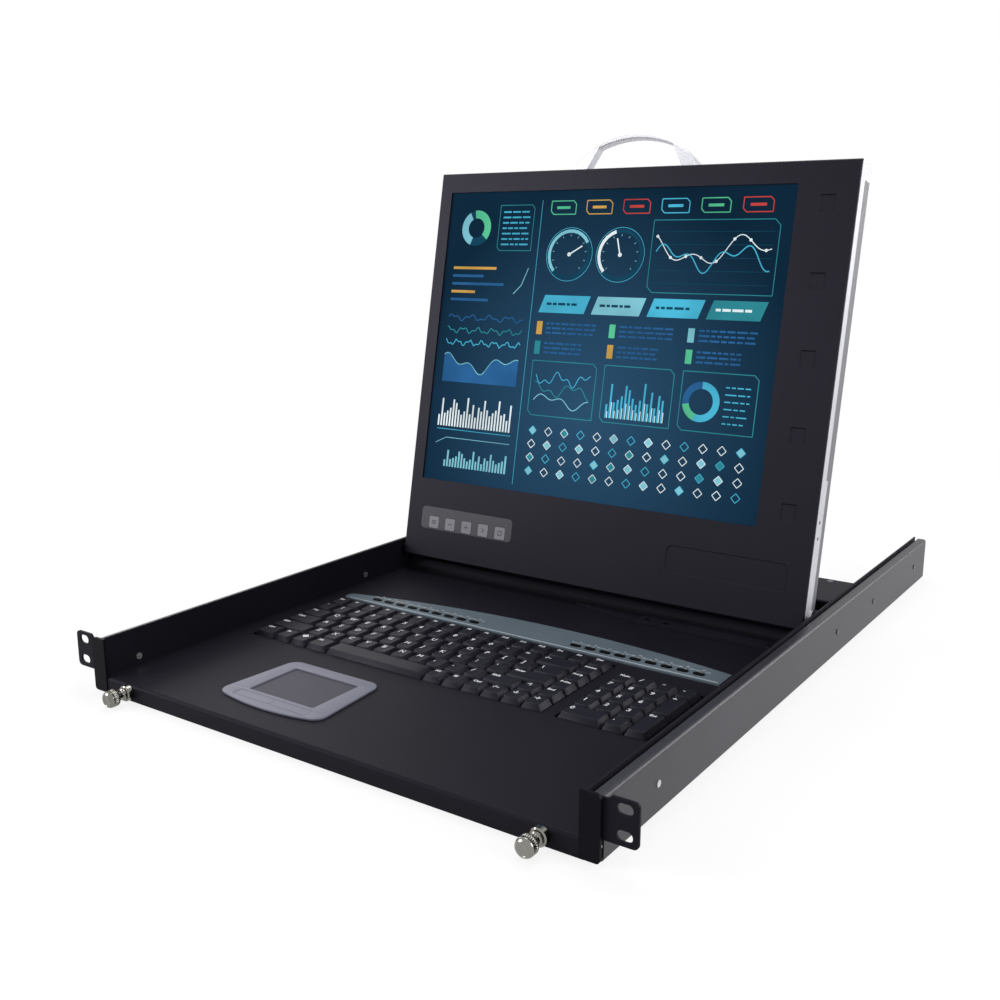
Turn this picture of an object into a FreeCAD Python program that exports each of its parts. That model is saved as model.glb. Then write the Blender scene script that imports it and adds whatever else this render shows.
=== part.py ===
import FreeCAD, Part
import math
import os
from FreeCAD import Vector

# A one-unit rack console drawer: a display that folds flat over a keyboard, in a tray on
# telescopic ball slides.  Millimetres, X to the right, Y to the back, Z up.  Heights are
# measured from the bottom of the rack unit, and the finished pieces are moved down together so
# that the origin is the middle of the four rack slots, on the front face of the ears.

# rack standard
unit_height = 43.7
rack_width = 482.6
column_inset = 17.5
slot_rows = 15.875
low_slot_height = 22.225
slot_length = 10.0
slot_width = 6.6

# rails and ears
ear_reach = 22.0
rail_length = 652.0
rail_bottom = 1.6
rail_top = 41.2
sheet = 1.2
rail_bend = 1.2
rail_flange = 7.6
ear_sheet = 1.6
ear_bottom = 16.1
ear_top = 43.9
ear_step = 2.4
ear_step_width = 5.0
ear_corner = 3.5
ear_flange_length = 16.0
ear_step_round = 0.8
ear_rivet_place = 11.2
rivet_radius = 1.4
rivet_head_radius = 2.3
rivet_head_height = 0.6
rivet_places = [66.0, 387.0, 484.0, 614.0]
rivet_room = 0.05

# telescopic ball slides
slide_middle_height = 21.85
slide_web = 1.0
slide_gap = 1.0
slide_corner = 0.8
outer_half_height = 17.5
outer_flange = 1.2
middle_flange = 1.6
inner_flange = 1.2
lip_width = 0.8
lip_depth = 1.2
lip_to_tray = 0.9
middle_lip_width = 0.6
middle_lip_to_tray = 0.6
slide_screw_places = [30.0, 294.0, 560.0]
slide_screw_height = 20.5
ball_radius = 1.5
race_clearance = 0.15
race_depth = 0.55
outer_ball_inset = 2.3
inner_ball_inset = 1.3
cage_sheet = 0.5
cage_shelf = 0.8
cage_play = 0.3
cage_front_room = 2.0
inner_cage_start = 40.0
inner_member_back_gap = 8.0
balls_in_row = 2
cage_length = 150.0
drawer_travel = 440.0
outer_member_front = 20.0
outer_member_back = 646.0
middle_member_front = 8.0
middle_member_back = 600.0
inner_member_front = 2.0

# drawer tray
tray_floor_height = 0.5
side_plate_back = 648.0
tray_wall_top = 43.5
tray_bend = 1.0
tray_gap = 9.5

# keyboard deck and front lip
deck_top = 14.0
deck_behind_bracket = 9.7
deck_post_inset = 38.6
deck_post_front = 12.0
deck_post_back = 70.0
lip_front = -2.0
lip_bottom = 1.4
lip_bend = 1.6
bar_cover = 3.0
bar_front = -2.8
bar_bottom = 2.0
bar_corner = 4.0
bar_chamfer = 2.5
bar_gap = 0.2
bar_inner_corner = 0.6
bar_inset = 0.1

# keys
key_top = 18.0
key_height = 4.6
key_travel = 1.9
key_gap = 0.9
key_taper = 1.3
stem_width = 4.0
stem_length = 3.2
guide_play = 0.3
guide_plate = 1.8
membrane_sheet = 0.8
base_sheet = 1.0
keys_left_margin = 21.9
keys_right_margin = 30.2
keys_front = 128.9
main_columns = 16
main_row_count = 6
pad_row_count = 5
pad_columns = 4
pad_gap = 12.7
pad_pitch = 17.3
well_margin = 1.2
frame_rim = 5.4
cap_floor_gap = 0.2
dome_height = 1.3
well_corner = 2.0
long_key = 2.5

# strip of small keys behind the keyboard
strip_left_margin = 18.2
strip_right_margin = 28.6
strip_gap = 7.0
strip_end_depth = 17.5
strip_crown_depth = 38.5
strip_thickness = 1.4
strip_corner = 6.0
strip_side_rise = 5.5
media_pitch = 13.5
media_length = 9.2
media_width = 4.2
media_inset = 10.3
media_left_margin = 32.7
media_right_margin = 21.0
media_count = 9
media_proud = 0.8
media_travel = 0.6
media_flange = 0.9
media_flange_sheet = 0.5
media_play = 0.05

# touchpad
pad_middle = -67.5
pad_front = 27.5
pad_back = 99.0
pad_front_half = 46.8
pad_back_half = 38.8
pad_corner = 9.0
pad_bow = 2.0
pad_window_half = 31.2
pad_window_front = 41.7
pad_window_back = 89.0
pad_thickness = 1.4
pad_sensor_drop = 0.9
pad_board = 1.2
pad_fit = 0.1
window_corner = 1.0
board_margin = 4.0
button_half_span = 35.0
button_front = 29.2
button_back = 37.0
button_split = 0.4
button_play = 0.3
button_travel = 0.5
button_floor = 0.2

# rear compartment
box_gap = 6.0
box_depth = 63.0
board_height = 7.0
board_sheet = 1.6
board_front_gap = 8.0
board_side_gap = 68.6
board_rear_gap = 2.0
board_screw_inset = 8.0
board_chips = [(0.24, 28.0, 26.0, 3.0), (-0.54, 30.0, 24.0, 2.4), (0.55, 14.0, 18.0, 6.0),
               (-0.15, 18.0, 12.0, 2.0)]
board_cans = [0.69, 0.77, 0.85]
can_radius = 4.0
can_height = 12.0
cover_flange = 12.0
port_depth_inside = 14.0
port_proud = 1.5
port_wall = 1.5
port_socket = 6.0
port_room = 0.3
square_port = 11.0
wide_port = 12.5
round_core = 1.0
box_screw_inset = 18.6
box_screw_line = 6.0
standoff_radius = 2.5

# display
panel_side_gap = 1.9
panel_height = 370.9
panel_thickness = 25.0
panel_tilt = 11.0
panel_edge_y = 346.7
panel_edge_height = 31.3
closed_clearance = 0.4
bezel_sheet = 2.4
bezel_edge = 0.8
frame_depth = 12.0
frame_foot_depth = 16.0
frame_foot_height = 120.0
frame_wall = 2.0
cap_height = 14.0
back_inset = 0.1
back_corner = 3.0
back_chamfer = 0.8
back_screw_inset = 8.0
back_screw_length = 3.0
vent_low = 70.0
vent_count = 8
vent_pitch = 33.0
vent_length = 20.0
vent_width = 3.0
cap_slope = 2.0
back_sheet = 1.0
window_left_margin = 13.2
window_right_margin = 48.9
window_bottom = 76.4
window_top_margin = 18.0
window_round = 0.8
module_margin = 3.4
module_depth = 9.4
glass_sheet = 1.1
port_column_margin = 23.7
port_first = 91.7
port_last_margin = 33.6
port_count = 5
port_corner = 1.2
port_width = 13.0
port_height = 13.5
port_depth = 1.0
port_slope = 0.9
bay_left_margin = 125.2
bay_right_margin = 17.7
bay_bottom = 27.0
bay_top = 50.5
bay_corner = 5.0
bay_depth = 0.6
bay_slope = 0.5
menu_left_margin = 17.7
menu_length = 106.0
menu_bottom = 28.0
menu_top = 49.5
menu_corner = 4.0
menu_sheet = 0.8
menu_button = 11.4
menu_button_row = 34.9
menu_first_margin = 33.1
menu_fit = 0.1
menu_button_corner = 1.0
menu_room = 0.5
menu_pitch = 19.4
menu_travel = 0.4
menu_button_sheet = 0.9

# display handle
handle_half_base = 64.9
handle_rise = 30.7
handle_crown = 4.2
handle_inner_half = 47.5
handle_shoulder_half = 37.0
handle_shoulder_rise = 19.0
handle_depth = 9.5
handle_front = 6.5
handle_edge = 1.2

# display driver board
driver_half_width = 60.0
driver_half_height = 41.0
driver_share = 0.55
driver_chip = 24.0
driver_chip_sheet = 1.2

# display hinge
hinge_up = 8.0
hinge_pin_radius = 4.0
hinge_play = 0.05
bracket_sheet = 3.0
bracket_radius = 7.5
bracket_half_foot = 13.0
bracket_foot = 5.0
bracket_corner = 1.5
washer_radius = 7.0
washer_play = 0.2
pin_inside = 9.0
arm_sheet = 2.5
arm_length = 105.0
arm_screw_inset = 18.6
arm_screw_pitch = 13.0
lug_rim = 2.0

# thumbscrews
thumb_inset = 27.6
thumb_height = 7.9
thumb_shank = 3.0
thumb_play = 0.06
collar_neck = 3.6
collar_chamfer = 0.8
collar_radius = 6.0
collar_length = 4.6
thumb_neck = 3.7
thumb_head = 6.4
thumb_reach = 19.6
thumb_head_length = 8.2
thumb_tail = 6.0
thumb_shoulder = 0.8
thumb_seat_gap = 0.3
thumb_step = 1.2
thumb_slope = 1.6
thumb_dome = 2.2

# cable cover under the display
cover_left_margin = 146.6
cover_right_margin = 18.6
cover_front = 330.0
cover_back = 352.0
cover_screw_row = 337.0
cover_screw_inset = 9.0
cover_height = 2.8
cover_corner = 1.5
tongue_length = 68.0
tongue_width = 3.0
tongue_start = 6.0

screw_head_radius = 2.6
screw_head_height = 0.8
screw_shank = 1.45
screw_room = 0.1
arm_screw_radius = 1.3
arm_head_room = 0.3
low_head_height = 0.5

# sizes that follow
slot_middle_height = low_slot_height + slot_rows / 2
slot_columns = rack_width - column_inset
rail_outer = rack_width / 2 - ear_reach
tray_outer = rail_outer - tray_gap
tray_inner = tray_outer - sheet
bar_inner = tray_inner - bar_cover
ear_rivet_height = (ear_bottom + ear_top) / 2
thumb_place = tray_inner - thumb_inset
floor_top = tray_floor_height + sheet
deck_bottom = deck_top - sheet
closed_face = key_top + closed_clearance
tilt = math.radians(panel_tilt)
hinge_deep = (panel_edge_height - closed_face + hinge_up * math.cos(tilt)) / (1 + math.sin(tilt))
hinge_y = panel_edge_y + hinge_up * math.sin(tilt) + hinge_deep * math.cos(tilt)
hinge_height = panel_edge_height + hinge_up * math.cos(tilt) - hinge_deep * math.sin(tilt)
deck_back = hinge_y + bracket_half_foot + deck_behind_bracket
box_front = deck_back + box_gap
tray_depth = box_front + box_depth
board_front = box_front + board_front_gap
panel_half = tray_inner - bracket_sheet - panel_side_gap
panel_width = 2 * panel_half
window_left = -panel_half + window_left_margin
window_right = panel_half - window_right_margin
window_top = panel_height - window_top_margin
port_column = panel_half - port_column_margin
port_step = (panel_height - port_last_margin - port_first) / (port_count - 1)
bay_left = panel_half - bay_left_margin
bay_right = panel_half - bay_right_margin
menu_left = -panel_half + menu_left_margin
menu_right = menu_left + menu_length
menu_first_button = -panel_half + menu_first_margin
main_left = -tray_inner + keys_left_margin
pad_left = tray_inner - keys_right_margin - pad_columns * pad_pitch
main_pitch = (pad_left - pad_gap - main_left) / main_columns
keys_back = keys_front + main_row_count * main_pitch
strip_front = keys_back + strip_gap
strip_end_back = strip_front + strip_end_depth
strip_crown = strip_front + strip_crown_depth
media_row = strip_front + media_inset
strip_left = -tray_inner + strip_left_margin
strip_right = tray_inner - strip_right_margin
media_left = strip_left + media_left_margin
media_right = strip_right - media_right_margin - (media_count - 1) * media_pitch
cover_left = tray_inner - cover_left_margin
cover_right = tray_inner - cover_right_margin
tongue_left = cover_left - tongue_length
board_half_width = tray_inner - board_side_gap
key_bottom = key_top - key_height
guide_top = key_bottom - key_travel - cap_floor_gap
guide_bottom = guide_top - guide_plate
membrane_top = guide_bottom - dome_height


# ---- shared shapes -------------------------------------------------------------------

def block(x_span, y_span, z_span):
    size = [span[1] - span[0] for span in (x_span, y_span, z_span)]
    return Part.makeBox(size[0], size[1], size[2], Vector(x_span[0], y_span[0], z_span[0]))


def rod(radius, start, end):
    first = Vector(*start)
    along = Vector(*end) - first
    return Part.makeCylinder(radius, along.Length, first, along)


def rounded_wire(points, radii):
    """A closed wire through the points, with each corner rounded by its own radius."""
    count = len(points)
    corners = []
    for index in range(count):
        here = points[index]
        if radii[index] == 0:
            corners.append((here, here, here))
            continue
        before = (points[index - 1] - here).normalize()
        after = (points[(index + 1) % count] - here).normalize()
        half = before.getAngle(after) / 2
        reach = radii[index] / math.tan(half)
        inward = (before + after).normalize()
        middle = here + inward * (radii[index] / math.sin(half) - radii[index])
        corners.append((here + before * reach, middle, here + after * reach))
    edges = []
    for index in range(count):
        entry, middle, leave = corners[index]
        if radii[index] > 0:
            edges.append(Part.Arc(entry, middle, leave).toShape())
        following = corners[(index + 1) % count][0]
        if leave.distanceToPoint(following) > 1e-6:
            edges.append(Part.LineSegment(leave, following).toShape())
    return Part.Wire(edges)


def prism(points, radii, along):
    if not isinstance(radii, list):
        radii = [radii] * len(points)
    return Part.Face(rounded_wire(points, radii)).extrude(along)


def plate(x_span, y_span, z_span, corner):
    """A flat plate lying level, with rounded corners in plan."""
    points = [Vector(x_span[0], y_span[0], z_span[0]), Vector(x_span[1], y_span[0], z_span[0]),
              Vector(x_span[1], y_span[1], z_span[0]), Vector(x_span[0], y_span[1], z_span[0])]
    return prism(points, corner, Vector(0, 0, z_span[1] - z_span[0]))


def upright_plate(x_span, y_span, z_span, corner):
    """A flat plate standing across the drawer, with rounded corners seen from the front."""
    points = [Vector(x_span[0], y_span[0], z_span[0]), Vector(x_span[1], y_span[0], z_span[0]),
              Vector(x_span[1], y_span[0], z_span[1]), Vector(x_span[0], y_span[0], z_span[1])]
    return prism(points, corner, Vector(0, y_span[1] - y_span[0], 0))


def sheet_outline(path, thickness, bend):
    """Both faces of a bent sheet: the path is one face, the other lies to its left."""
    last = len(path) - 1
    shifted = []
    near = []
    far = []
    for index, (a, b) in enumerate(path):
        come = path[index - 1] if index > 0 else None
        go = path[index + 1] if index < last else None
        before = Vector(a - come[0], b - come[1], 0).normalize() if come else None
        after = Vector(go[0] - a, go[1] - b, 0).normalize() if go else None
        before = before or after
        after = after or before
        normal = Vector(-before.y - after.y, before.x + after.x, 0)
        normal = normal * (thickness / (1 + before.dot(after)))
        shifted.append((a + normal.x, b + normal.y))
        turn = before.x * after.y - before.y * after.x
        near.append(0 if turn == 0 else bend + thickness if turn > 0 else bend)
        far.append(0 if turn == 0 else bend if turn > 0 else bend + thickness)
    return path + shifted[::-1], near + far[::-1]


def bent_sheet_along_y(path, thickness, bend, y_span):
    points, radii = sheet_outline(path, thickness, bend)
    return prism([Vector(x, y_span[0], z) for x, z in points], radii,
                 Vector(0, y_span[1] - y_span[0], 0))


def bent_sheet_along_x(path, thickness, bend, x_span):
    points, radii = sheet_outline(path, thickness, bend)
    return prism([Vector(x_span[0], y, z) for y, z in points], radii,
                 Vector(x_span[1] - x_span[0], 0, 0))


def slot_shape(middle, length, width, depth):
    """A round-ended slot that runs along X, cut from front to back."""
    half = length / 2 - width / 2
    x, y, z = middle
    top = z + width / 2
    low = z - width / 2
    edges = [Part.LineSegment(Vector(x - half, y, low), Vector(x + half, y, low)).toShape(),
             Part.Arc(Vector(x + half, y, low), Vector(x + half + width / 2, y, z),
                      Vector(x + half, y, top)).toShape(),
             Part.LineSegment(Vector(x + half, y, top), Vector(x - half, y, top)).toShape(),
             Part.Arc(Vector(x - half, y, top), Vector(x - half - width / 2, y, z),
                      Vector(x - half, y, low)).toShape()]
    return Part.Face(Part.Wire(edges)).extrude(Vector(0, depth, 0))


def oval_button(middle, length, width, z_span):
    """A round-ended key that runs along X and stands up."""
    half = length / 2 - width / 2
    x, y = middle
    z = z_span[0]
    back = y + width / 2
    front = y - width / 2
    edges = [Part.LineSegment(Vector(x - half, front, z), Vector(x + half, front, z)).toShape(),
             Part.Arc(Vector(x + half, front, z), Vector(x + half + width / 2, y, z),
                      Vector(x + half, back, z)).toShape(),
             Part.LineSegment(Vector(x + half, back, z), Vector(x - half, back, z)).toShape(),
             Part.Arc(Vector(x - half, back, z), Vector(x - half - width / 2, y, z),
                      Vector(x - half, front, z)).toShape()]
    return Part.Face(Part.Wire(edges)).extrude(Vector(0, 0, z_span[1] - z_span[0]))


def mirrored(shape):
    return shape.mirror(Vector(0, 0, 0), Vector(1, 0, 0))


def cut_all(shape, tools):
    return shape.cut(Part.makeCompound(tools))


def screw(place, direction, shank_length):
    """A low round head on its seat, with the shank behind it."""
    seat = Vector(*place)
    way = Vector(*direction)
    head = Part.makeCylinder(screw_head_radius, screw_head_height, seat, way)
    shank = Part.makeCylinder(screw_shank, shank_length, seat - way * shank_length, way)
    return head.fuse(shank).removeSplitter()


def write(name, shape):
    """Moves a piece so that the origin is the middle of the rack slots, and saves it."""
    piece = shape.copy()
    piece.translate(Vector(0, 0, -slot_middle_height))
    if not piece.isValid():
        print("not valid:", name)
    piece.exportStep("parts/" + name + ".step")


# ---- rails, ears and their rivets ----------------------------------------------------

def rail_channel():
    """Right rail: a channel that opens inwards, with holes for its rivets."""
    inner = rail_outer - rail_flange
    path = [(inner, rail_bottom), (rail_outer, rail_bottom), (rail_outer, rail_top), (inner, rail_top)]
    channel = bent_sheet_along_y(path, sheet, rail_bend, (ear_sheet, rail_length))
    holes = [rivet_hole(y, slide_middle_height) for y in rivet_places]
    return cut_all(channel, holes + [rivet_hole(ear_rivet_place, ear_rivet_height)])


def rivet_hole(y, height):
    """A hole right through the rail wall and the sheet behind it."""
    return rod(rivet_radius + rivet_room, (rail_outer - 3 * sheet, y, height),
               (rail_outer + sheet, y, height))


def rack_ear():
    """Right ear: a slotted plate in front of the rail, with a flange riveted inside it."""
    edge = rack_width / 2
    inner = rail_outer - sheet - ear_sheet
    points = [Vector(inner, 0, ear_bottom), Vector(edge, 0, ear_bottom), Vector(edge, 0, ear_top),
              Vector(rail_outer + ear_step_width, 0, ear_top),
              Vector(rail_outer + ear_step_width - ear_step, 0, ear_top - ear_step),
              Vector(inner, 0, ear_top - ear_step)]
    radii = [0, ear_corner, ear_corner, ear_step_round, ear_step_round, 0]
    face = prism(points, radii, Vector(0, ear_sheet, 0))
    slots = []
    for row in range(2):
        height = low_slot_height + row * slot_rows
        slots.append(slot_shape((slot_columns / 2, 0, height), slot_length, slot_width, ear_sheet))
    flange = block((inner, rail_outer - sheet), (0, ear_sheet + ear_flange_length),
                   (ear_bottom, rail_top - sheet - rail_bend))
    ear = cut_all(face, slots).fuse(flange)
    return ear.cut(rivet_hole(ear_rivet_place, ear_rivet_height)).removeSplitter()


def rail_rivets():
    """Rivets of both rails: a low head outside and a shank through wall and flange."""
    rivets = []
    places = [(y, slide_middle_height, sheet + slide_web) for y in rivet_places]
    places += [(ear_rivet_place, ear_rivet_height, sheet + ear_sheet)]
    for y, height, grip in places:
        shank = rod(rivet_radius, (rail_outer - grip, y, height), (rail_outer, y, height))
        head = rod(rivet_head_radius, (rail_outer, y, height),
                   (rail_outer + rivet_head_height, y, height))
        rivet = shank.fuse(head).removeSplitter()
        rivets += [rivet, mirrored(rivet)]
    return Part.makeCompound(rivets)


# ---- telescopic slides ---------------------------------------------------------------

def slide_levels():
    """Half-heights of the nested flanges and of the two rows of balls."""
    level = {"outer inside": outer_half_height - outer_flange}
    ball_rise = ball_radius + race_clearance - race_depth
    level["outer ball"] = level["outer inside"] - ball_rise
    level["middle outside"] = level["outer ball"] - ball_rise
    level["middle inside"] = level["middle outside"] - middle_flange
    level["inner ball"] = level["middle inside"] - ball_rise
    level["inner outside"] = level["inner ball"] - ball_rise
    level["inner inside"] = level["inner outside"] - inner_flange
    return level


def slide_depths():
    """Distances inwards from the outside of the rail."""
    outer_web = sheet
    middle_web = outer_web + slide_web + slide_gap
    inner_tip = middle_web + slide_web + slide_gap
    return outer_web, middle_web, inner_tip


def slide_channel(back, front, outside, inside, lip, y_span, race_cuts):
    """One rolled member: web at depth back, flanges reaching to depth front, lip turned in."""
    web = back + slide_web if front > back else back - slide_web
    half = [(back, outside), (front, outside)]
    if lip > 0:
        half += [(front, inside - lip_depth), (front - lip, inside - lip_depth),
                 (front - lip, inside)]
    else:
        half += [(front, inside)]
    half += [(web, inside)]
    section = half + [(depth, -level) for depth, level in half[::-1]]
    radii = [slide_corner] + [0] * (len(section) - 2) + [slide_corner]
    points = [Vector(rail_outer - depth, y_span[0], slide_middle_height + level)
              for depth, level in section]
    member = prism(points, radii, Vector(0, y_span[1] - y_span[0], 0))
    races = []
    for depth, level in race_cuts:
        for side in (-1, 1):
            centre = (rail_outer - depth, slide_middle_height + side * level)
            races.append(rod(ball_radius + race_clearance, (centre[0], y_span[0], centre[1]),
                             (centre[0], y_span[1], centre[1])))
    return cut_all(member, races)


def ball_depths():
    outer_web, middle_web, inner_tip = slide_depths()
    return middle_web + outer_ball_inset, inner_tip + inner_ball_inset


def slide_outer():
    level = slide_levels()
    outer_web, middle_web, inner_tip = slide_depths()
    member = slide_channel(outer_web, tray_gap - lip_to_tray, outer_half_height,
                           level["outer inside"], lip_width,
                           (outer_member_front, outer_member_back),
                           [(ball_depths()[0], level["outer ball"])])
    return cut_all(member, [rivet_hole(y, slide_middle_height) for y in rivet_places])


def slide_middle():
    level = slide_levels()
    outer_web, middle_web, inner_tip = slide_depths()
    return slide_channel(middle_web, tray_gap - middle_lip_to_tray, level["middle outside"],
                         level["middle inside"], middle_lip_width,
                         (middle_member_front, middle_member_back),
                         [(ball_depths()[0], level["outer ball"]),
                          (ball_depths()[1], level["inner ball"])])


def slide_screws(near, far, side=1):
    """Shanks of the screws that fix the inner member to the tray wall, on one side."""
    return [rod(screw_shank, (side * near, y, slide_screw_height),
                (side * far, y, slide_screw_height)) for y in slide_screw_places]


def slide_inner():
    level = slide_levels()
    outer_web, middle_web, inner_tip = slide_depths()
    member = slide_channel(tray_gap, inner_tip, level["inner outside"], level["inner inside"], 0,
                           (inner_member_front, side_plate_back - inner_member_back_gap),
                           [(ball_depths()[1], level["inner ball"])])
    return cut_all(member, slide_screws(tray_outer, tray_outer + slide_web))


def ball_cage(web_depth, shelf_end, ball_depth, ball_level, front):
    """A thin cage that holds an upper and a lower row of balls between two members."""
    half = ball_level + cage_shelf / 2
    section = [(web_depth, half), (shelf_end, half), (shelf_end, half - cage_shelf),
               (web_depth + cage_sheet, half - cage_shelf)]
    section += [(depth, -level) for depth, level in section[::-1]]
    points = [Vector(rail_outer - depth, front, slide_middle_height + level)
              for depth, level in section]
    cage = prism(points, 0, Vector(0, cage_length, 0))
    pockets = []
    balls = []
    step = cage_length / balls_in_row
    for index in range(balls_in_row):
        y = front + step * (index + 0.5)
        for side in (-1, 1):
            centre = Vector(rail_outer - ball_depth, y, slide_middle_height + side * ball_level)
            pockets.append(Part.makeCylinder(ball_radius + race_clearance, 2 * cage_shelf,
                                             centre - Vector(0, 0, cage_shelf), Vector(0, 0, 1)))
            balls.append(Part.makeSphere(ball_radius, centre))
    pieces = [cut_all(cage, pockets)] + balls
    return Part.makeCompound(pieces + [mirrored(piece) for piece in pieces])


def outer_cages():
    outer_web, middle_web, inner_tip = slide_depths()
    web = outer_web + slide_web + (slide_gap - cage_sheet) / 2
    shelf_end = tray_gap - lip_to_tray - lip_width - cage_play
    front = outer_member_front + drawer_travel / 4 + cage_front_room
    return ball_cage(web, shelf_end, ball_depths()[0], slide_levels()["outer ball"], front)


def inner_cages():
    outer_web, middle_web, inner_tip = slide_depths()
    web = middle_web + slide_web + (slide_gap - cage_sheet) / 2
    shelf_end = tray_gap - middle_lip_to_tray - middle_lip_width - cage_play
    front = middle_member_front + drawer_travel / 4 + inner_cage_start
    return ball_cage(web, shelf_end, ball_depths()[1], slide_levels()["inner ball"], front)


# ---- drawer tray, deck and front -----------------------------------------------------

def drawer_tray():
    """Floor and side walls from one sheet; the side walls run on behind as slide plates."""
    path = [(tray_outer, tray_wall_top), (tray_outer, tray_floor_height),
            (-tray_outer, tray_floor_height), (-tray_outer, tray_wall_top)]
    front = lip_front + sheet
    points, radii = sheet_outline(path[::-1], sheet, tray_bend)
    tray = prism([Vector(x, front, z) for x, z in points], radii,
                 Vector(0, side_plate_back - front, 0))
    open_back = block((-tray_inner, tray_inner), (tray_depth, side_plate_back),
                      (0, unit_height))
    slide_clear = block((-rail_outer, rail_outer), (tray_depth, side_plate_back),
                        (0, slide_middle_height - outer_half_height))
    screw_holes = slide_screws(tray_inner, tray_outer) + slide_screws(tray_inner, tray_outer, -1)
    tray = cut_all(tray, [open_back, slide_clear] + screw_holes)
    posts = [rod(standoff_radius, (x, y, floor_top), (x, y, board_height))
             for x, y in board_screw_places()]
    posts += [rod(standoff_radius, (x, y, floor_top), (x, y, deck_bottom))
              for x, y in deck_screw_places()]
    return tray.multiFuse(posts).removeSplitter()


def board_screw_places():
    half = board_half_width - board_screw_inset
    back = tray_depth - sheet - board_rear_gap - board_screw_inset
    return [(x, y) for x in (-half, half) for y in (board_front + board_screw_inset, back)]


def deck_screw_places():
    side = tray_inner - deck_post_inset
    return [(x, y) for x in (-side, 0, side) for y in (deck_post_front, deck_back - deck_post_back)]


def keyboard_deck():
    """Top plate of the drawer, folded down in front as the lip."""
    path = [(deck_back, deck_top), (lip_front, deck_top), (lip_front, lip_bottom)]
    deck = bent_sheet_along_x(path, sheet, lip_bend, (-tray_inner, tray_inner))
    tools = []
    for side in (-1, 1):
        edge = sorted((side * (bar_inner - bar_gap), side * rail_outer))
        tools.append(block(edge, (lip_front - 1, lip_front + sheet), (0, unit_height)))
        tools.append(rod(collar_neck, (side * thumb_place, lip_front - 1, thumb_height),
                         (side * thumb_place, lip_front + 2 * sheet, thumb_height)))
    for x_span, y_span in key_wells():
        tools.append(plate(x_span, y_span, (deck_bottom - 1, deck_top + 1), well_corner))
    half = button_half_span + 4 * button_play
    tools.append(block((pad_middle - half, pad_middle + half),
                       (button_front - 2 * button_play, pad_window_back + window_corner),
                       (deck_bottom - 1, deck_top + 1)))
    for start in (media_left, media_right):
        end = start + (media_count - 1) * media_pitch
        tools.append(block((start - media_length, end + media_length),
                           (media_row - media_width, media_row + media_width),
                           (deck_bottom - 1, deck_top + 1)))
    return cut_all(deck, tools)


def front_bar():
    """Right end piece of the drawer, which covers the front of the slide."""
    points = [Vector(bar_inner, bar_front, bar_bottom),
              Vector(rail_outer - bar_inset, bar_front, bar_bottom),
              Vector(rail_outer - bar_inset, bar_front, unit_height),
              Vector(bar_inner, bar_front, unit_height)]
    return prism(points, [bar_chamfer, bar_chamfer, bar_corner, bar_inner_corner],
                 Vector(0, lip_front + sheet - bar_front, 0))


def front_bars():
    bar = front_bar()
    return Part.makeCompound([mirrored(bar), bar])


def cable_cover():
    """Low cover on the deck under the display, with a tapered tongue at its left end."""
    points = [Vector(cover_left, cover_front, deck_top), Vector(cover_right, cover_front, deck_top),
              Vector(cover_right, cover_back, deck_top), Vector(cover_left, cover_back, deck_top)]
    body = prism(points, [0, cover_corner, cover_corner, 0], Vector(0, 0, cover_height))
    tongue = [Vector(tongue_left, cover_back - tongue_width, deck_top),
              Vector(cover_left, cover_front + tongue_start, deck_top),
              Vector(cover_left, cover_back, deck_top), Vector(tongue_left, cover_back, deck_top)]
    tail = prism(tongue, 0, Vector(0, 0, cover_height / 2))
    body = body.fuse(tail).removeSplitter()
    holes = [rod(screw_shank + screw_room, (x, y, deck_bottom), (x, y, deck_top + cover_height))
             for x, y in cover_screw_places()]
    return cut_all(body, holes)


def cover_screw_places():
    return [(x, cover_screw_row) for x in (cover_left + cover_screw_inset,
                                           cover_left + 3 * cover_screw_inset,
                                           cover_right - cover_screw_inset)]


# ---- keyboard ------------------------------------------------------------------------

def row_front(row):
    return keys_front + row * main_pitch


def key_wells():
    """Openings in the deck for the main keys and for the number keys, seen from above."""
    main = ((main_left - well_margin, main_left + main_columns * main_pitch + well_margin),
            (keys_front - well_margin, keys_back + well_margin))
    number = ((pad_left - well_margin, pad_left + pad_columns * pad_pitch + well_margin),
              (keys_front - well_margin, keys_front + pad_row_count * main_pitch + well_margin))
    return [main, number]


main_rows = {
    "bottom_row_keys": (0, [(0, 1.25), (1.25, 1), (2.25, 1), (3.25, 1.25), (10, 1), (11, 1),
                            (12, 1), (13, 1), (14, 1), (15, 1)]),
    "space_bar": (0, [(4.5, 5.5)]),
    "lower_letter_keys": (1, [(0, 2.25)] + [(2.25 + n, 1) for n in range(10)]
                          + [(12.25, 1.75), (14, 1), (15, 1)]),
    "home_row_keys": (2, [(0, 1.75)] + [(1.75 + n, 1) for n in range(11)]
                      + [(12.75, 2.25), (15, 1)]),
    "upper_letter_keys": (3, [(0, 1.5)] + [(1.5 + n, 1) for n in range(12)]
                          + [(13.5, 1.5), (15, 1)]),
    "number_row_keys": (4, [(n, 1) for n in range(13)] + [(13, 2), (15, 1)]),
    "function_row_keys": (5, [(n, 1) for n in range(16)]),
}

pad_keys = [(0, 0, 2, 1), (2, 0, 1, 1), (3, 0, 1, 2), (3, 2, 1, 2)]
pad_keys += [(column, row, 1, 1) for row in (1, 2, 3) for column in range(3)]
pad_keys += [(column, 4, 1, 1) for column in range(4)]


def key_spans():
    """Plan of every key by node: left, right, front and back edges of its cell."""
    spans = {}
    for name, (row, cells) in main_rows.items():
        spans[name] = [(main_left + start * main_pitch, main_left + (start + width) * main_pitch,
                        row_front(row), row_front(row + 1)) for start, width in cells]
    spans["number_pad_keys"] = [(pad_left + column * pad_pitch,
                                 pad_left + (column + wide) * pad_pitch,
                                 row_front(row), row_front(row + tall))
                                for column, row, wide, tall in pad_keys]
    return spans


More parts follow.
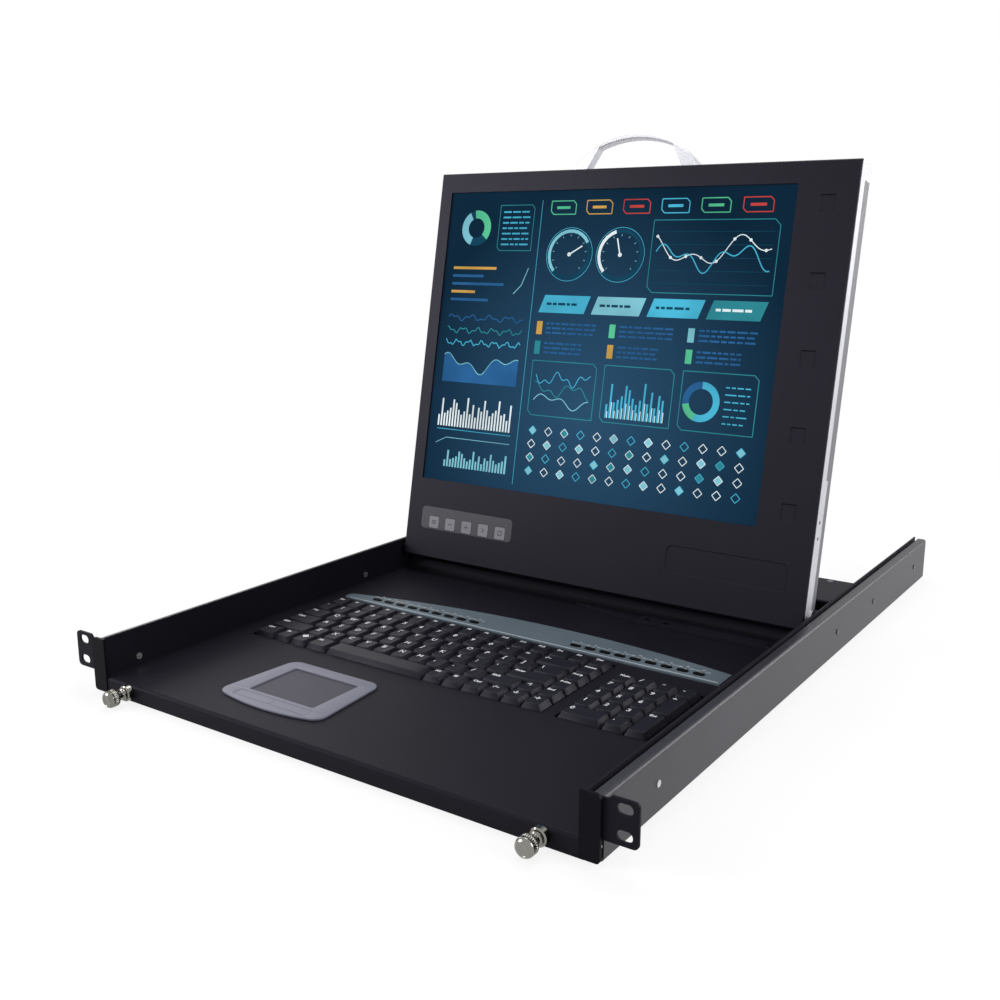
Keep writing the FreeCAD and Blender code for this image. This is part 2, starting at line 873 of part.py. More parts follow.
def stem_places(cell):
    """Square guide stems under a cap: one, or two far apart under a long cap."""
    left, right, front, back = cell
    middle = ((left + right) / 2, (front + back) / 2)
    if right - left > long_key * main_pitch:
        offset = (right - left) / 3
        return [(middle[0] - offset, middle[1]), (middle[0] + offset, middle[1])]
    return [middle]


def key_cap(cell):
    left, right, front, back = cell
    gap = key_gap / 2
    low = [Vector(left + gap, front + gap, key_bottom), Vector(right - gap, front + gap, key_bottom),
           Vector(right - gap, back - gap, key_bottom), Vector(left + gap, back - gap, key_bottom)]
    inset = gap + key_taper
    high = [Vector(left + inset, front + inset, key_top), Vector(right - inset, front + inset, key_top),
            Vector(right - inset, back - gap - key_taper / 2, key_top),
            Vector(left + inset, back - gap - key_taper / 2, key_top)]
    wires = [Part.makePolygon(points + [points[0]]) for points in (low, high)]
    cap = Part.makeLoft(wires, True, True)
    stems = []
    for x, y in stem_places(cell):
        stems.append(block((x - stem_width / 2, x + stem_width / 2),
                           (y - stem_width / 2, y + stem_width / 2),
                           (key_bottom - stem_length, key_bottom)))
    return cap.multiFuse(stems).removeSplitter()


def key_group(name):
    return Part.makeCompound([key_cap(cell) for cell in key_spans()[name]])


def guide_blocks(low, high, grow):
    return [block((x_span[0] - grow, x_span[1] + grow), (y_span[0] - grow, y_span[1] + grow),
                  (low, high)) for x_span, y_span in key_wells()]


def key_guide_frame():
    """Moulded frame under the deck: a floor with a square guide for each stem, and rims."""
    outer = guide_blocks(membrane_top, deck_bottom, frame_rim)
    frame = outer[0].fuse(outer[1]).removeSplitter()
    tools = guide_blocks(guide_top, deck_bottom + 1, 0)
    tools += guide_blocks(membrane_top - 1, guide_bottom, 0)
    half = stem_width / 2 + guide_play
    for cells in key_spans().values():
        for cell in cells:
            for x, y in stem_places(cell):
                tools.append(block((x - half, x + half), (y - half, y + half),
                                   (guide_bottom - 1, guide_top + 1)))
    return cut_all(frame, tools)


def keyboard_sheet(low, high):
    blocks = guide_blocks(low, high, frame_rim)
    return blocks[0].fuse(blocks[1]).removeSplitter()


# ---- strip of small keys -------------------------------------------------------------

def media_places():
    return [(start + index * media_pitch, media_row) for start in (media_left, media_right)
            for index in range(media_count)]


def media_strip():
    """Long plate with a straight front and an arched back, pierced for its oval keys."""
    low = deck_top
    corners = [Vector(strip_left, strip_front, low), Vector(strip_right, strip_front, low),
               Vector(strip_right, strip_end_back + strip_side_rise, low),
               Vector((strip_left + strip_right) / 2, strip_crown, low),
               Vector(strip_left, strip_end_back - strip_side_rise, low)]
    edges = [Part.LineSegment(corners[0], corners[1]).toShape(),
             Part.LineSegment(corners[1], corners[2]).toShape(),
             Part.Arc(corners[2], corners[3], corners[4]).toShape(),
             Part.LineSegment(corners[4], corners[0]).toShape()]
    strip = Part.Face(Part.Wire(edges)).extrude(Vector(0, 0, strip_thickness))
    uprights = [edge for edge in strip.Edges
                if edge.BoundBox.ZLength > strip_thickness / 2 and edge.BoundBox.XMax < 0]
    strip = strip.makeFillet(strip_corner, uprights)
    tools = [oval_button(place, media_length + 2 * button_play, media_width + 2 * button_play,
                         (low - 1, low + strip_thickness + 1)) for place in media_places()]
    return cut_all(strip, tools)


def media_keys():
    """Oval keys, each with a flange that keeps it under the strip."""
    top = deck_top + strip_thickness + media_proud
    keys = []
    for place in media_places():
        key = oval_button(place, media_length, media_width, (deck_top - media_play, top))
        half_length = media_length / 2 + media_flange
        half_width = media_width / 2 + media_flange
        flange = block((place[0] - half_length, place[0] + half_length),
                       (place[1] - half_width, place[1] + half_width),
                       (deck_top - media_play - media_flange_sheet, deck_top - media_play))
        keys.append(key.fuse(flange).removeSplitter())
    return Part.makeCompound(keys)


def media_board():
    """Board under the small keys, against the underside of the deck."""
    top = deck_top - media_flange_sheet - media_travel - 2 * media_play
    return block((media_places()[0][0] - 2 * media_length, media_places()[-1][0] + 2 * media_length),
                 (media_row - 2 * media_width, media_row + 2 * media_width), (top - pad_board, top))


# ---- touchpad ------------------------------------------------------------------------

def touchpad_frame():
    """Rounded, slightly flared bezel round the pad, with room for its two buttons."""
    low = deck_top
    points = [Vector(pad_middle - pad_front_half, pad_front, low),
              Vector(pad_middle, pad_front - pad_bow, low),
              Vector(pad_middle + pad_front_half, pad_front, low),
              Vector(pad_middle + pad_back_half, pad_back, low),
              Vector(pad_middle - pad_back_half, pad_back, low)]
    body = prism(points, [pad_corner, pad_front_half * 3, pad_corner, pad_corner, pad_corner],
                 Vector(0, 0, pad_thickness))
    window = plate((pad_middle - pad_window_half, pad_middle + pad_window_half),
                   (pad_window_front, pad_window_back), (low - 1, low + pad_thickness + 1),
                   window_corner)
    pocket = block((pad_middle - button_half_span - button_play,
                    pad_middle + button_half_span + button_play),
                   (button_front - button_play, button_back + button_play),
                   (low - 1, low + pad_thickness + 1))
    return cut_all(body, [window, pocket])


def touchpad_button(side):
    inner = side * button_split / 2
    outer = side * button_half_span
    x_span = sorted((pad_middle + inner, pad_middle + outer))
    return block(x_span, (button_front, button_back),
                 (deck_bottom + button_travel + button_floor, deck_top + pad_thickness))


def touchpad_pad():
    return plate((pad_middle - pad_window_half + pad_fit, pad_middle + pad_window_half - pad_fit),
                 (pad_window_front + pad_fit, pad_window_back - pad_fit),
                 (deck_bottom, deck_top + pad_thickness - pad_sensor_drop), window_corner - pad_fit)


def touchpad_board():
    half = button_half_span + board_margin
    return block((pad_middle - half, pad_middle + half),
                 (button_front - board_margin, pad_window_back + board_margin),
                 (deck_bottom - pad_board, deck_bottom))


# ---- rear compartment ----------------------------------------------------------------

def rear_cover():
    """Cover of the electronics: top folded down in front."""
    half = tray_inner - bar_gap
    path = [(box_front, floor_top + tray_bend), (box_front, tray_wall_top),
            (tray_depth, tray_wall_top)]
    points, radii = sheet_outline(path[::-1], sheet, tray_bend)
    cover = prism([Vector(-half, y, z) for y, z in points], radii, Vector(2 * half, 0, 0))
    holes = [rod(screw_shank + screw_room, (x, y, tray_wall_top - 2 * sheet),
                 (x, y, unit_height + 1)) for x, y in box_screw_places()]
    return cut_all(cover, holes)


def box_screw_places():
    outer = tray_inner - box_screw_inset
    return [(x, tray_depth - box_screw_line) for x in (-outer, -outer / 3, outer / 3, outer)]


# Each connector: its section, its place across, its width, height and corner radius.
port_kinds = [("round", -118.0, 11.0, 11.0, 0), ("flat", -60.0, 30.0, wide_port, 3.0),
              ("flat", -10.0, 12.0, square_port, 0.8), ("flat", 22.0, 12.0, square_port, 0.8)]


def port_body(port, y_span, grow):
    kind, x, width, height, corner = port
    low = board_height + board_sheet
    if kind == "round":
        middle = low + height / 2
        return rod(width / 2 + grow, (x, y_span[0], middle), (x, y_span[1], middle))
    return upright_plate((x - width / 2 - grow, x + width / 2 + grow), y_span,
                         (low - grow, low + height + grow), max(corner + grow, 0.3))


def rear_panel():
    """Rear wall of the compartment, pierced for the connectors."""
    back = tray_depth
    half = tray_inner - bar_gap
    low = floor_top
    high = tray_wall_top - sheet
    corners = [Vector(-half, back, low), Vector(half, back, low), Vector(half, back, high),
               Vector(-half, back, high)]
    wall = prism(corners, [tray_bend, tray_bend, 0, 0], Vector(0, -sheet, 0))
    tools = [port_body(port, (back - 2 * sheet, back + sheet), port_room) for port in port_kinds]
    flange = block((-half, half), (back - cover_flange, back - sheet), (high - sheet, high))
    tools += [rod(screw_shank, (x, y, tray_wall_top - 3 * sheet), (x, y, tray_wall_top))
              for x, y in box_screw_places()]
    return cut_all(wall.fuse(flange).removeSplitter(), tools)


def rear_ports():
    """Connector shells on the board, each a hollow socket that stands a little proud."""
    ports = []
    for port in port_kinds:
        kind, x, width, height, corner = port
        body = port_body(port, (tray_depth - port_depth_inside, tray_depth + port_proud), 0)
        socket = (tray_depth - port_socket, tray_depth + 2 * port_proud)
        body = body.cut(port_body(port, socket, -port_wall))
        if kind == "round":
            middle = board_height + board_sheet + height / 2
            core = rod(round_core, (x, socket[0] - 1, middle), (x, tray_depth, middle))
            body = body.fuse(core).removeSplitter()
        ports.append(body)
    return Part.makeCompound(ports)


def main_board():
    """Board with its chips and capacitors, placed as shares of its half width."""
    back = tray_depth - sheet - board_rear_gap
    top = board_height + board_sheet
    board = block((-board_half_width, board_half_width), (board_front, back), (board_height, top))
    holes = [rod(screw_shank + screw_room, (x, y, board_height - 1), (x, y, top + 1))
             for x, y in board_screw_places()]
    board = cut_all(board, holes)
    middle = (board_front + back - port_depth_inside) / 2
    chips = []
    for share, wide, deep, tall in board_chips:
        x = share * board_half_width
        chips.append(block((x - wide / 2, x + wide / 2), (middle - deep / 2, middle + deep / 2),
                           (top, top + tall)))
    for share in board_cans:
        x = share * board_half_width
        chips.append(rod(can_radius, (x, middle, top), (x, middle, top + can_height)))
    return board.multiFuse(chips).removeSplitter()


def hinge_bracket():
    """Right bracket: a plate on the side wall that carries the hinge pin."""
    inner = tray_inner - bracket_sheet
    low = deck_top
    left = hinge_y - bracket_half_foot
    right = hinge_y + bracket_half_foot
    foot = low + bracket_foot
    waist = hinge_height - hinge_pin_radius / 2
    reach = bracket_radius
    top = hinge_height + reach
    points = [Vector(inner, left, low), Vector(inner, right, low), Vector(inner, right, foot),
              Vector(inner, hinge_y + reach, waist), Vector(inner, hinge_y + reach, top),
              Vector(inner, hinge_y - reach, top), Vector(inner, hinge_y - reach, waist),
              Vector(inner, left, foot)]
    round_top = reach * 0.95
    body = prism(points, [0, 0, bracket_corner, 0, round_top, round_top, 0, bracket_corner],
                 Vector(bracket_sheet, 0, 0))
    bore = rod(hinge_pin_radius + hinge_play, (inner - 1, hinge_y, hinge_height),
               (tray_inner + 1, hinge_y, hinge_height))
    return body.cut(bore)


def hinge_brackets():
    bracket = hinge_bracket()
    return Part.makeCompound([mirrored(bracket), bracket])


def drawer_screws():
    """Screws of the slides, the cable cover, the rear cover and the board."""
    screws = []
    for side in (-1, 1):
        for y in slide_screw_places:
            screws.append(screw((side * tray_inner, y, slide_screw_height), (-side, 0, 0),
                                sheet + slide_web))
    for x, y in cover_screw_places():
        screws.append(screw((x, y, deck_top + cover_height), (0, 0, 1), cover_height))
    for x, y in box_screw_places():
        head = rod(screw_head_radius, (x, y, tray_wall_top), (x, y, unit_height))
        shank = rod(screw_shank, (x, y, tray_wall_top - 2.5 * sheet), (x, y, tray_wall_top))
        screws.append(head.fuse(shank).removeSplitter())
    for x, y in board_screw_places():
        screws.append(screw((x, y, board_height + board_sheet), (0, 0, 1), board_sheet))
    return Part.makeCompound(screws)


# ---- thumbscrews ---------------------------------------------------------------------

def turned(profile, x):
    """A turned piece on a front-to-back axis at the height of the thumbscrews."""
    points = [Vector(x + radius, y, thumb_height) for radius, y in profile]
    face = Part.Face(Part.makePolygon(points + [points[0]]))
    return face.revolve(Vector(x, 0, thumb_height), Vector(0, 1, 0), 360)


def thumb_collar(x):
    """Collar pressed into the lip, with the bore that the screw turns in."""
    bore = thumb_shank + thumb_play
    front = lip_front - collar_length
    inside = lip_front + sheet
    profile = [(bore, front), (collar_radius - collar_chamfer, front),
               (collar_radius, front + collar_chamfer), (collar_radius, lip_front),
               (collar_neck - rivet_room, lip_front), (collar_neck - rivet_room, inside),
               (bore, inside)]
    return turned(profile, x)


def thumb_collars():
    return Part.makeCompound([thumb_collar(-thumb_place), thumb_collar(thumb_place)])


def thumbscrew(x):
    """Captive screw: shank in the collar, waisted neck and smooth round head."""
    seat = lip_front - collar_length - thumb_seat_gap
    tip = lip_front - thumb_reach
    head_back = tip + thumb_head_length
    edge = thumb_shoulder
    profile = [(0, thumb_tail), (thumb_shank - edge, thumb_tail), (thumb_shank, thumb_tail - edge),
               (thumb_shank, seat), (thumb_neck + edge, seat),
               (thumb_neck + edge, seat - thumb_step), (thumb_neck, seat - thumb_step - edge),
               (thumb_neck, head_back + thumb_slope), (thumb_head - edge, head_back),
               (thumb_head, head_back - edge), (thumb_head, tip + thumb_dome),
               (thumb_head - edge, tip + edge), (thumb_head - thumb_dome, tip), (0, tip)]
    return turned(profile, x)


# ---- display -------------------------------------------------------------------------
# Its pieces are drawn upright: X across, Y from the front glass backwards, Z up from the lower
# edge.  They are then leaned back and lifted to the hinge together.

def place_display(shape):
    piece = shape.copy()
    piece.rotate(Vector(0, 0, 0), Vector(1, 0, 0), -panel_tilt)
    piece.translate(Vector(0, panel_edge_y, panel_edge_height))
    return piece


def sunk_tool(x_span, depth, z_span, corner, slope):
    """Cutter for a shallow recess whose walls slope down to its floor."""
    tool = upright_plate(x_span, (-1, depth), z_span, corner)
    floor_edges = [edge for edge in tool.Edges if edge.BoundBox.YMin > depth - 0.01]
    return tool.makeChamfer(slope, floor_edges)


def panel_bezel():
    """Front plate with the screen window, the shallow recesses and the menu pocket."""
    plate_shape = block((-panel_half, panel_half), (0, bezel_sheet), (0, panel_height))
    front_edges = [edge for edge in plate_shape.Edges if edge.BoundBox.YMax < 0.01]
    plate_shape = plate_shape.makeChamfer(bezel_edge, front_edges)
    tools = [upright_plate((window_left, window_right), (-1, bezel_sheet + 1),
                           (window_bottom, window_top), window_round)]
    for index in range(port_count):
        row = port_first + index * port_step
        tools.append(sunk_tool((port_column - port_width / 2, port_column + port_width / 2),
                               port_depth, (row - port_height / 2, row + port_height / 2),
                               port_corner, port_slope))
    tools.append(sunk_tool((bay_left, bay_right), bay_depth, (bay_bottom, bay_top), bay_corner,
                           bay_slope))
    tools.append(upright_plate((menu_left - menu_fit, menu_right + menu_fit), (-1, menu_sheet),
                               (menu_bottom - menu_fit, menu_top + menu_fit), menu_corner))
    half = menu_button / 2 + menu_room
    for x in menu_places():
        tools.append(block((x - half, x + half), (-1, menu_sheet + menu_travel + button_play),
                           (menu_button_row - half, menu_button_row + half)))
    return cut_all(plate_shape, tools)


def menu_places():
    return [menu_first_button + index * menu_pitch for index in range(5)]


def menu_overlay():
    overlay = upright_plate((menu_left, menu_right), (0, menu_sheet), (menu_bottom, menu_top),
                            menu_corner)
    half = menu_button / 2 + button_play
    tools = [block((x - half, x + half), (-1, 2 * menu_sheet),
                   (menu_button_row - half, menu_button_row + half)) for x in menu_places()]
    return cut_all(overlay, tools)


def menu_key(x):
    half = menu_button / 2
    return upright_plate((x - half, x + half), (menu_sheet - menu_button_sheet, menu_sheet),
                         (menu_button_row - half, menu_button_row + half), menu_button_corner)


def panel_side_frame():
    """Metal frame round the display, deeper at its foot, where the hinge arms are fixed."""
    outer = block((-panel_half, panel_half), (bezel_sheet, frame_foot_depth),
                  (0, panel_height - cap_height))
    inner = block((-panel_half + frame_wall, panel_half - frame_wall),
                  (0, frame_foot_depth + 1), (frame_wall, panel_height))
    shallow = block((-panel_half - 1, panel_half + 1), (frame_depth, frame_foot_depth + 1),
                    (frame_foot_height, panel_height))
    frame = cut_all(outer, [inner, shallow])
    holes = []
    for height in arm_screw_heights():
        holes.append(rod(arm_screw_radius + arm_head_room,
                         (-panel_half - 1, arm_screw_depth(), height),
                         (-panel_half + 2 * frame_wall, arm_screw_depth(), height)))
    holes += [mirrored(hole) for hole in holes]
    holes.append(rod(hinge_pin_radius, (-panel_half - 1, hinge_deep, hinge_up),
                     (panel_half + 1, hinge_deep, hinge_up)))
    return cut_all(frame, holes)


def arm_screw_heights():
    return [arm_length - arm_screw_inset, arm_length - arm_screw_inset - arm_screw_pitch]


def arm_screw_depth():
    return (bezel_sheet + frame_foot_depth) / 2


def panel_back_cover():
    """Shallow pan that closes the display behind, with rows of vent slots."""
    half = panel_half - back_inset
    high = panel_height - cap_height
    low = back_inset
    profile = [Vector(-half, frame_depth, low), Vector(half, frame_depth, low),
               Vector(half, frame_depth, high), Vector(-half, frame_depth, high)]
    body = prism(profile, [back_corner, back_corner, 0, 0],
                 Vector(0, panel_thickness - frame_depth, 0))
    rear_edges = [edge for edge in body.Edges if edge.BoundBox.YMin > panel_thickness - 0.01
                  and edge.BoundBox.ZMax < high - 1]
    body = body.makeChamfer(back_chamfer, rear_edges)
    hollow = block((-half + back_sheet, half - back_sheet),
                   (frame_depth - 1, panel_thickness - back_sheet),
                   (low + back_sheet, high - back_sheet))
    foot = block((-panel_half - 1, panel_half + 1), (frame_depth - 1, frame_foot_depth),
                 (0, frame_foot_height))
    body = cut_all(body, [hollow, foot])
    slots = []
    for row in (vent_low, panel_height - vent_low):
        for index in range(vent_count):
            x = (index - (vent_count - 1) / 2) * vent_pitch
            slots.append(slot_shape((x, panel_thickness - 2 * back_sheet, row), vent_length,
                                    vent_width, 3 * back_sheet))
    pin_room = hinge_pin_radius + 1
    for side in (-1, 1):
        slots.append(rod(pin_room, (side * (panel_half + 1), hinge_deep, hinge_up),
                         (side * (half - 2 * back_sheet), hinge_deep, hinge_up)))
    body = cut_all(body, slots)
    posts = [rod(standoff_radius, (x, driver_depth(), z), (x, panel_thickness - back_sheet, z))
             for x, z in driver_screw_places()]
    body = body.multiFuse(posts).removeSplitter()
    holes = [rod(screw_shank, (x, panel_thickness - back_screw_length, z),
                 (x, panel_thickness + 1, z)) for x, z in back_screw_places()]
    return cut_all(body, holes)


def back_screw_places():
    half = panel_half - back_inset - back_screw_inset
    top = panel_height - cap_height - back_screw_inset
    return [(x, z) for x in (-half, 0, half) for z in (3 * back_screw_inset, top)]


def panel_top_cap():
    """Bright cap along the top edge; the handle stands on it."""
    low = panel_height - cap_height
    points = [Vector(-panel_half, bezel_sheet, low), Vector(-panel_half, panel_thickness, low),
              Vector(-panel_half, panel_thickness, panel_height),
              Vector(-panel_half, bezel_sheet, panel_height)]
    cap = prism(points, [0, 0, cap_slope, 0], Vector(panel_width, 0, 0))
    room = block((-panel_half + frame_wall, panel_half - frame_wall),
                 (0, bezel_sheet + module_depth + 2), (low - 1, panel_height - frame_wall))
    return cap.cut(room)


def panel_handle():
    """Arched grip with flared feet and a flat crown."""
    base = panel_height
    y = handle_front
    crown = base + handle_rise
    outer = Part.Arc(Vector(-handle_half_base, y, base), Vector(0, y, crown),
                     Vector(handle_half_base, y, base)).toShape()
    shoulder = base + handle_shoulder_rise
    inner = Part.Arc(Vector(handle_shoulder_half, y, shoulder),
                     Vector(0, y, crown - handle_crown),
                     Vector(-handle_shoulder_half, y, shoulder)).toShape()
    edges = [outer,
             Part.LineSegment(Vector(handle_half_base, y, base),
                              Vector(handle_inner_half, y, base)).toShape(),
             Part.LineSegment(Vector(handle_inner_half, y, base),
                              Vector(handle_shoulder_half, y, shoulder)).toShape(),
             inner,
             Part.LineSegment(Vector(-handle_shoulder_half, y, shoulder),
                              Vector(-handle_inner_half, y, base)).toShape(),
             Part.LineSegment(Vector(-handle_inner_half, y, base),
                              Vector(-handle_half_base, y, base)).toShape()]
    grip = Part.Face(Part.Wire(edges)).extrude(Vector(0, handle_depth, 0))
    arcs = [edge for edge in grip.Edges if edge.Curve.TypeId == "Part::GeomCircle"]
    return grip.makeChamfer(handle_edge, arcs)


def lcd_module():
    """Metal case of the display panel."""
    return block((window_left - module_margin, window_right + module_margin),
                 (bezel_sheet + glass_sheet, bezel_sheet + module_depth),
                 (window_bottom - module_margin, window_top + module_margin))


def lcd_glass():
    return block((window_left - module_margin, window_right + module_margin),
                 (bezel_sheet, bezel_sheet + glass_sheet),
                 (window_bottom - module_margin, window_top + module_margin))


def driver_depth():
    return frame_foot_depth + board_sheet


def driver_screw_places():
    middle = panel_height * driver_share
    across = driver_half_width - board_screw_inset
    up = driver_half_height - board_screw_inset
    return [(x, middle + z) for x in (-across, across) for z in (-up, up)]


def lcd_driver_board():
    """Driver board on the back cover's posts, with two flat chips on its front."""
    front = driver_depth() - board_sheet
    middle = panel_height * driver_share
    board = block((-driver_half_width, driver_half_width), (front, driver_depth()),
                  (middle - driver_half_height, middle + driver_half_height))
    half = driver_chip / 2
    chips = [block((x - half, x + half), (front - driver_chip_sheet, front),
                   (middle - half, middle + half)) for x in (-driver_chip, driver_chip)]
    return board.multiFuse(chips).removeSplitter()


def hinge_arm():
    """Right arm: a strip inside the frame with the pin and its friction washer."""
    outer = panel_half - frame_wall
    strip = block((outer - arm_sheet, outer), (bezel_sheet, frame_foot_depth),
                  (frame_wall, arm_length))
    lug = rod(hinge_pin_radius + lug_rim, (outer - arm_sheet, hinge_deep, hinge_up),
              (outer, hinge_deep, hinge_up))
    lug = lug.common(block((0, outer), (0, panel_thickness - back_sheet), (frame_wall, arm_length)))
    pin = rod(hinge_pin_radius, (outer - pin_inside, hinge_deep, hinge_up),
              (tray_inner - washer_play, hinge_deep, hinge_up))
    washer = rod(washer_radius, (panel_half, hinge_deep, hinge_up),
                 (tray_inner - bracket_sheet - washer_play, hinge_deep, hinge_up))
    holes = [rod(arm_screw_radius, (outer - 2 * arm_sheet, arm_screw_depth(), height),
                 (outer + 1, arm_screw_depth(), height)) for height in arm_screw_heights()]
    arm = strip.fuse(lug).cut(Part.makeCompound(holes))
    return arm.multiFuse([pin, washer]).removeSplitter()


def hinge_arms():
    arm = hinge_arm()
    return Part.makeCompound([mirrored(arm), arm])


def panel_screws():
    """Screws of the back cover, the hinge arms and the driver board."""
    screws = []
    for x, z in back_screw_places():
        head = rod(screw_head_radius, (x, panel_thickness, z),
                   (x, panel_thickness + low_head_height, z))
        shank = rod(screw_shank, (x, panel_thickness - back_screw_length, z),
                    (x, panel_thickness, z))
        screws.append(head.fuse(shank).removeSplitter())
    for side in (-1, 1):
        for height in arm_screw_heights():
            inside = side * (panel_half - frame_wall - arm_sheet)
            screws.append(rod(arm_screw_radius, (inside, arm_screw_depth(), height),
                              (side * (panel_half - arm_head_room), arm_screw_depth(), height)))
    return Part.makeCompound(screws)


# ---- write every piece ---------------------------------------------------------------

os.makedirs("parts", exist_ok=True)

sided = {"rail": rail_channel(), "rack_ear": rack_ear(), "slide_outer": slide_outer(),
         "slide_middle": slide_middle(), "slide_inner": slide_inner()}
for name, shape in sided.items():
    write("right_" + name, shape)
    write("left_" + name, mirrored(shape))

write("rail_rivets", rail_rivets())
write("outer_ball_cages", outer_cages())
write("inner_ball_cages", inner_cages())

write("drawer_tray", drawer_tray())
write("keyboard_deck", keyboard_deck())
write("front_bars", front_bars())
write("cable_cover", cable_cover())
write("hinge_brackets", hinge_brackets())
write("drawer_screws", drawer_screws())
write("thumbscrew_collars", thumb_collars())
write("left_thumbscrew", thumbscrew(-thumb_place))
write("right_thumbscrew", thumbscrew(thumb_place))

write("key_guide_frame", key_guide_frame())
write("key_membrane", keyboard_sheet(membrane_top - membrane_sheet, membrane_top))
write("keyboard_base_plate", keyboard_sheet(membrane_top - membrane_sheet - base_sheet,
                                            membrane_top - membrane_sheet))
for name in key_spans():
    write(name, key_group(name))
write("media_strip", media_strip())
write("media_keys", media_keys())

write("touchpad_frame", touchpad_frame())
write("touchpad_pad", touchpad_pad())
write("control_boards", Part.makeCompound([touchpad_board(), media_board()]))
write("touchpad_left_button", touchpad_button(-1))
write("touchpad_right_button", touchpad_button(1))

write("rear_cover", rear_cover())
write("rear_panel", rear_panel())
write("rear_ports", rear_ports())
write("main_board", main_board())

display = {"panel_bezel": panel_bezel(), "panel_side_frame": panel_side_frame(),
           "panel_back_cover": panel_back_cover(), "panel_top_cap": panel_top_cap(),
           "panel_handle": panel_handle(), "lcd_module": lcd_module(), "lcd_glass": lcd_glass(),
           "menu_overlay": menu_overlay(), "lcd_driver_board": lcd_driver_board(),
           "hinge_arms": hinge_arms(), "panel_screws": panel_screws()}
for number, x in enumerate(menu_places()):
    display["menu_button_" + str(number + 1)] = menu_key(x)
for name, shape in display.items():
    write(name, place_display(shape))

print("hinge axis y", round(hinge_y, 3), "height", round(hinge_height - slot_middle_height, 3))
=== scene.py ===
import math
import random

import bmesh
import bpy
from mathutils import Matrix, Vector


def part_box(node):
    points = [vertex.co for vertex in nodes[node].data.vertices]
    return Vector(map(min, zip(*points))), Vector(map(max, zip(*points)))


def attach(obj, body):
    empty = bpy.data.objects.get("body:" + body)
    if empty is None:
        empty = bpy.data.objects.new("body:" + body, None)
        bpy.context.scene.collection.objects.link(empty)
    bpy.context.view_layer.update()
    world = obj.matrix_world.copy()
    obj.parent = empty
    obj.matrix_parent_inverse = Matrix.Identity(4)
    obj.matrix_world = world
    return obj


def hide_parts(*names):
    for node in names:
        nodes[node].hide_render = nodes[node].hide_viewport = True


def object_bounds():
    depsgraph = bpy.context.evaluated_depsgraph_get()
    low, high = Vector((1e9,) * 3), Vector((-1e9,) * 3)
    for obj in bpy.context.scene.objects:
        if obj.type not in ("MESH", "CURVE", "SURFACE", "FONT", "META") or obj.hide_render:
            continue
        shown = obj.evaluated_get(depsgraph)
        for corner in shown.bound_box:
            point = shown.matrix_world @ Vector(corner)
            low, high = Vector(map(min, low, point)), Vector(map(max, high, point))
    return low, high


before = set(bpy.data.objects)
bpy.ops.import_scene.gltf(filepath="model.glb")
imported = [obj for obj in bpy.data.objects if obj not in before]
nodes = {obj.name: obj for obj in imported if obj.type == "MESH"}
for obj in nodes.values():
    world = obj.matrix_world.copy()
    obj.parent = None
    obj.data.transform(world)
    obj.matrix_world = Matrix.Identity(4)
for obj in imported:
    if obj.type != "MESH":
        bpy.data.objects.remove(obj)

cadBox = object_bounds()
random.seed(7)
print("frame loaded")


# nodes and materials

def addNode(tree, kind, **settings):
    node = tree.nodes.new(kind)
    for name, value in settings.items():
        setattr(node, name, value)
    return node


def noiseOf(tree, coords, scale, detail, stretch=(1, 1, 1)):
    mapping = addNode(tree, "ShaderNodeMapping")
    mapping.inputs["Scale"].default_value = stretch
    noise = addNode(tree, "ShaderNodeTexNoise")
    noise.inputs["Scale"].default_value = scale
    noise.inputs["Detail"].default_value = detail
    tree.links.new(coords, mapping.inputs["Vector"])
    tree.links.new(mapping.outputs["Vector"], noise.inputs["Vector"])
    return noise.outputs["Fac"]


def rangeOf(tree, value, low, high, fromLow=0.3, fromHigh=0.7):
    node = addNode(tree, "ShaderNodeMapRange")
    node.inputs["From Min"].default_value = fromLow
    node.inputs["From Max"].default_value = fromHigh
    node.inputs["To Min"].default_value = low
    node.inputs["To Max"].default_value = high
    tree.links.new(value, node.inputs["Value"])
    return node.outputs["Result"]


def mixColors(tree, factor, first, second):
    node = addNode(tree, "ShaderNodeMix", data_type="RGBA")
    tree.links.new(factor, node.inputs["Factor"])
    for name, value in (("A", first), ("B", second)):
        socket = [s for s in node.inputs if s.name == name and s.type == "RGBA"][0]
        if isinstance(value, tuple):
            socket.default_value = (*value, 1)
        else:
            tree.links.new(value, socket)
    return [s for s in node.outputs if s.type == "RGBA"][0]


plainLook = {  # what a look has where it says nothing else
    "cloudScale": 9, "cloudDetail": 4.0, "grainScale": 900, "grainDetail": 2.0,
    "stretch": (1, 1, 1), "fleck": 0, "fleckRange": (0.45, 0.75), "depth": 0.0002,
    "metallic": 0.0, "specular": 0.5, "tint": (1, 1, 1),
}


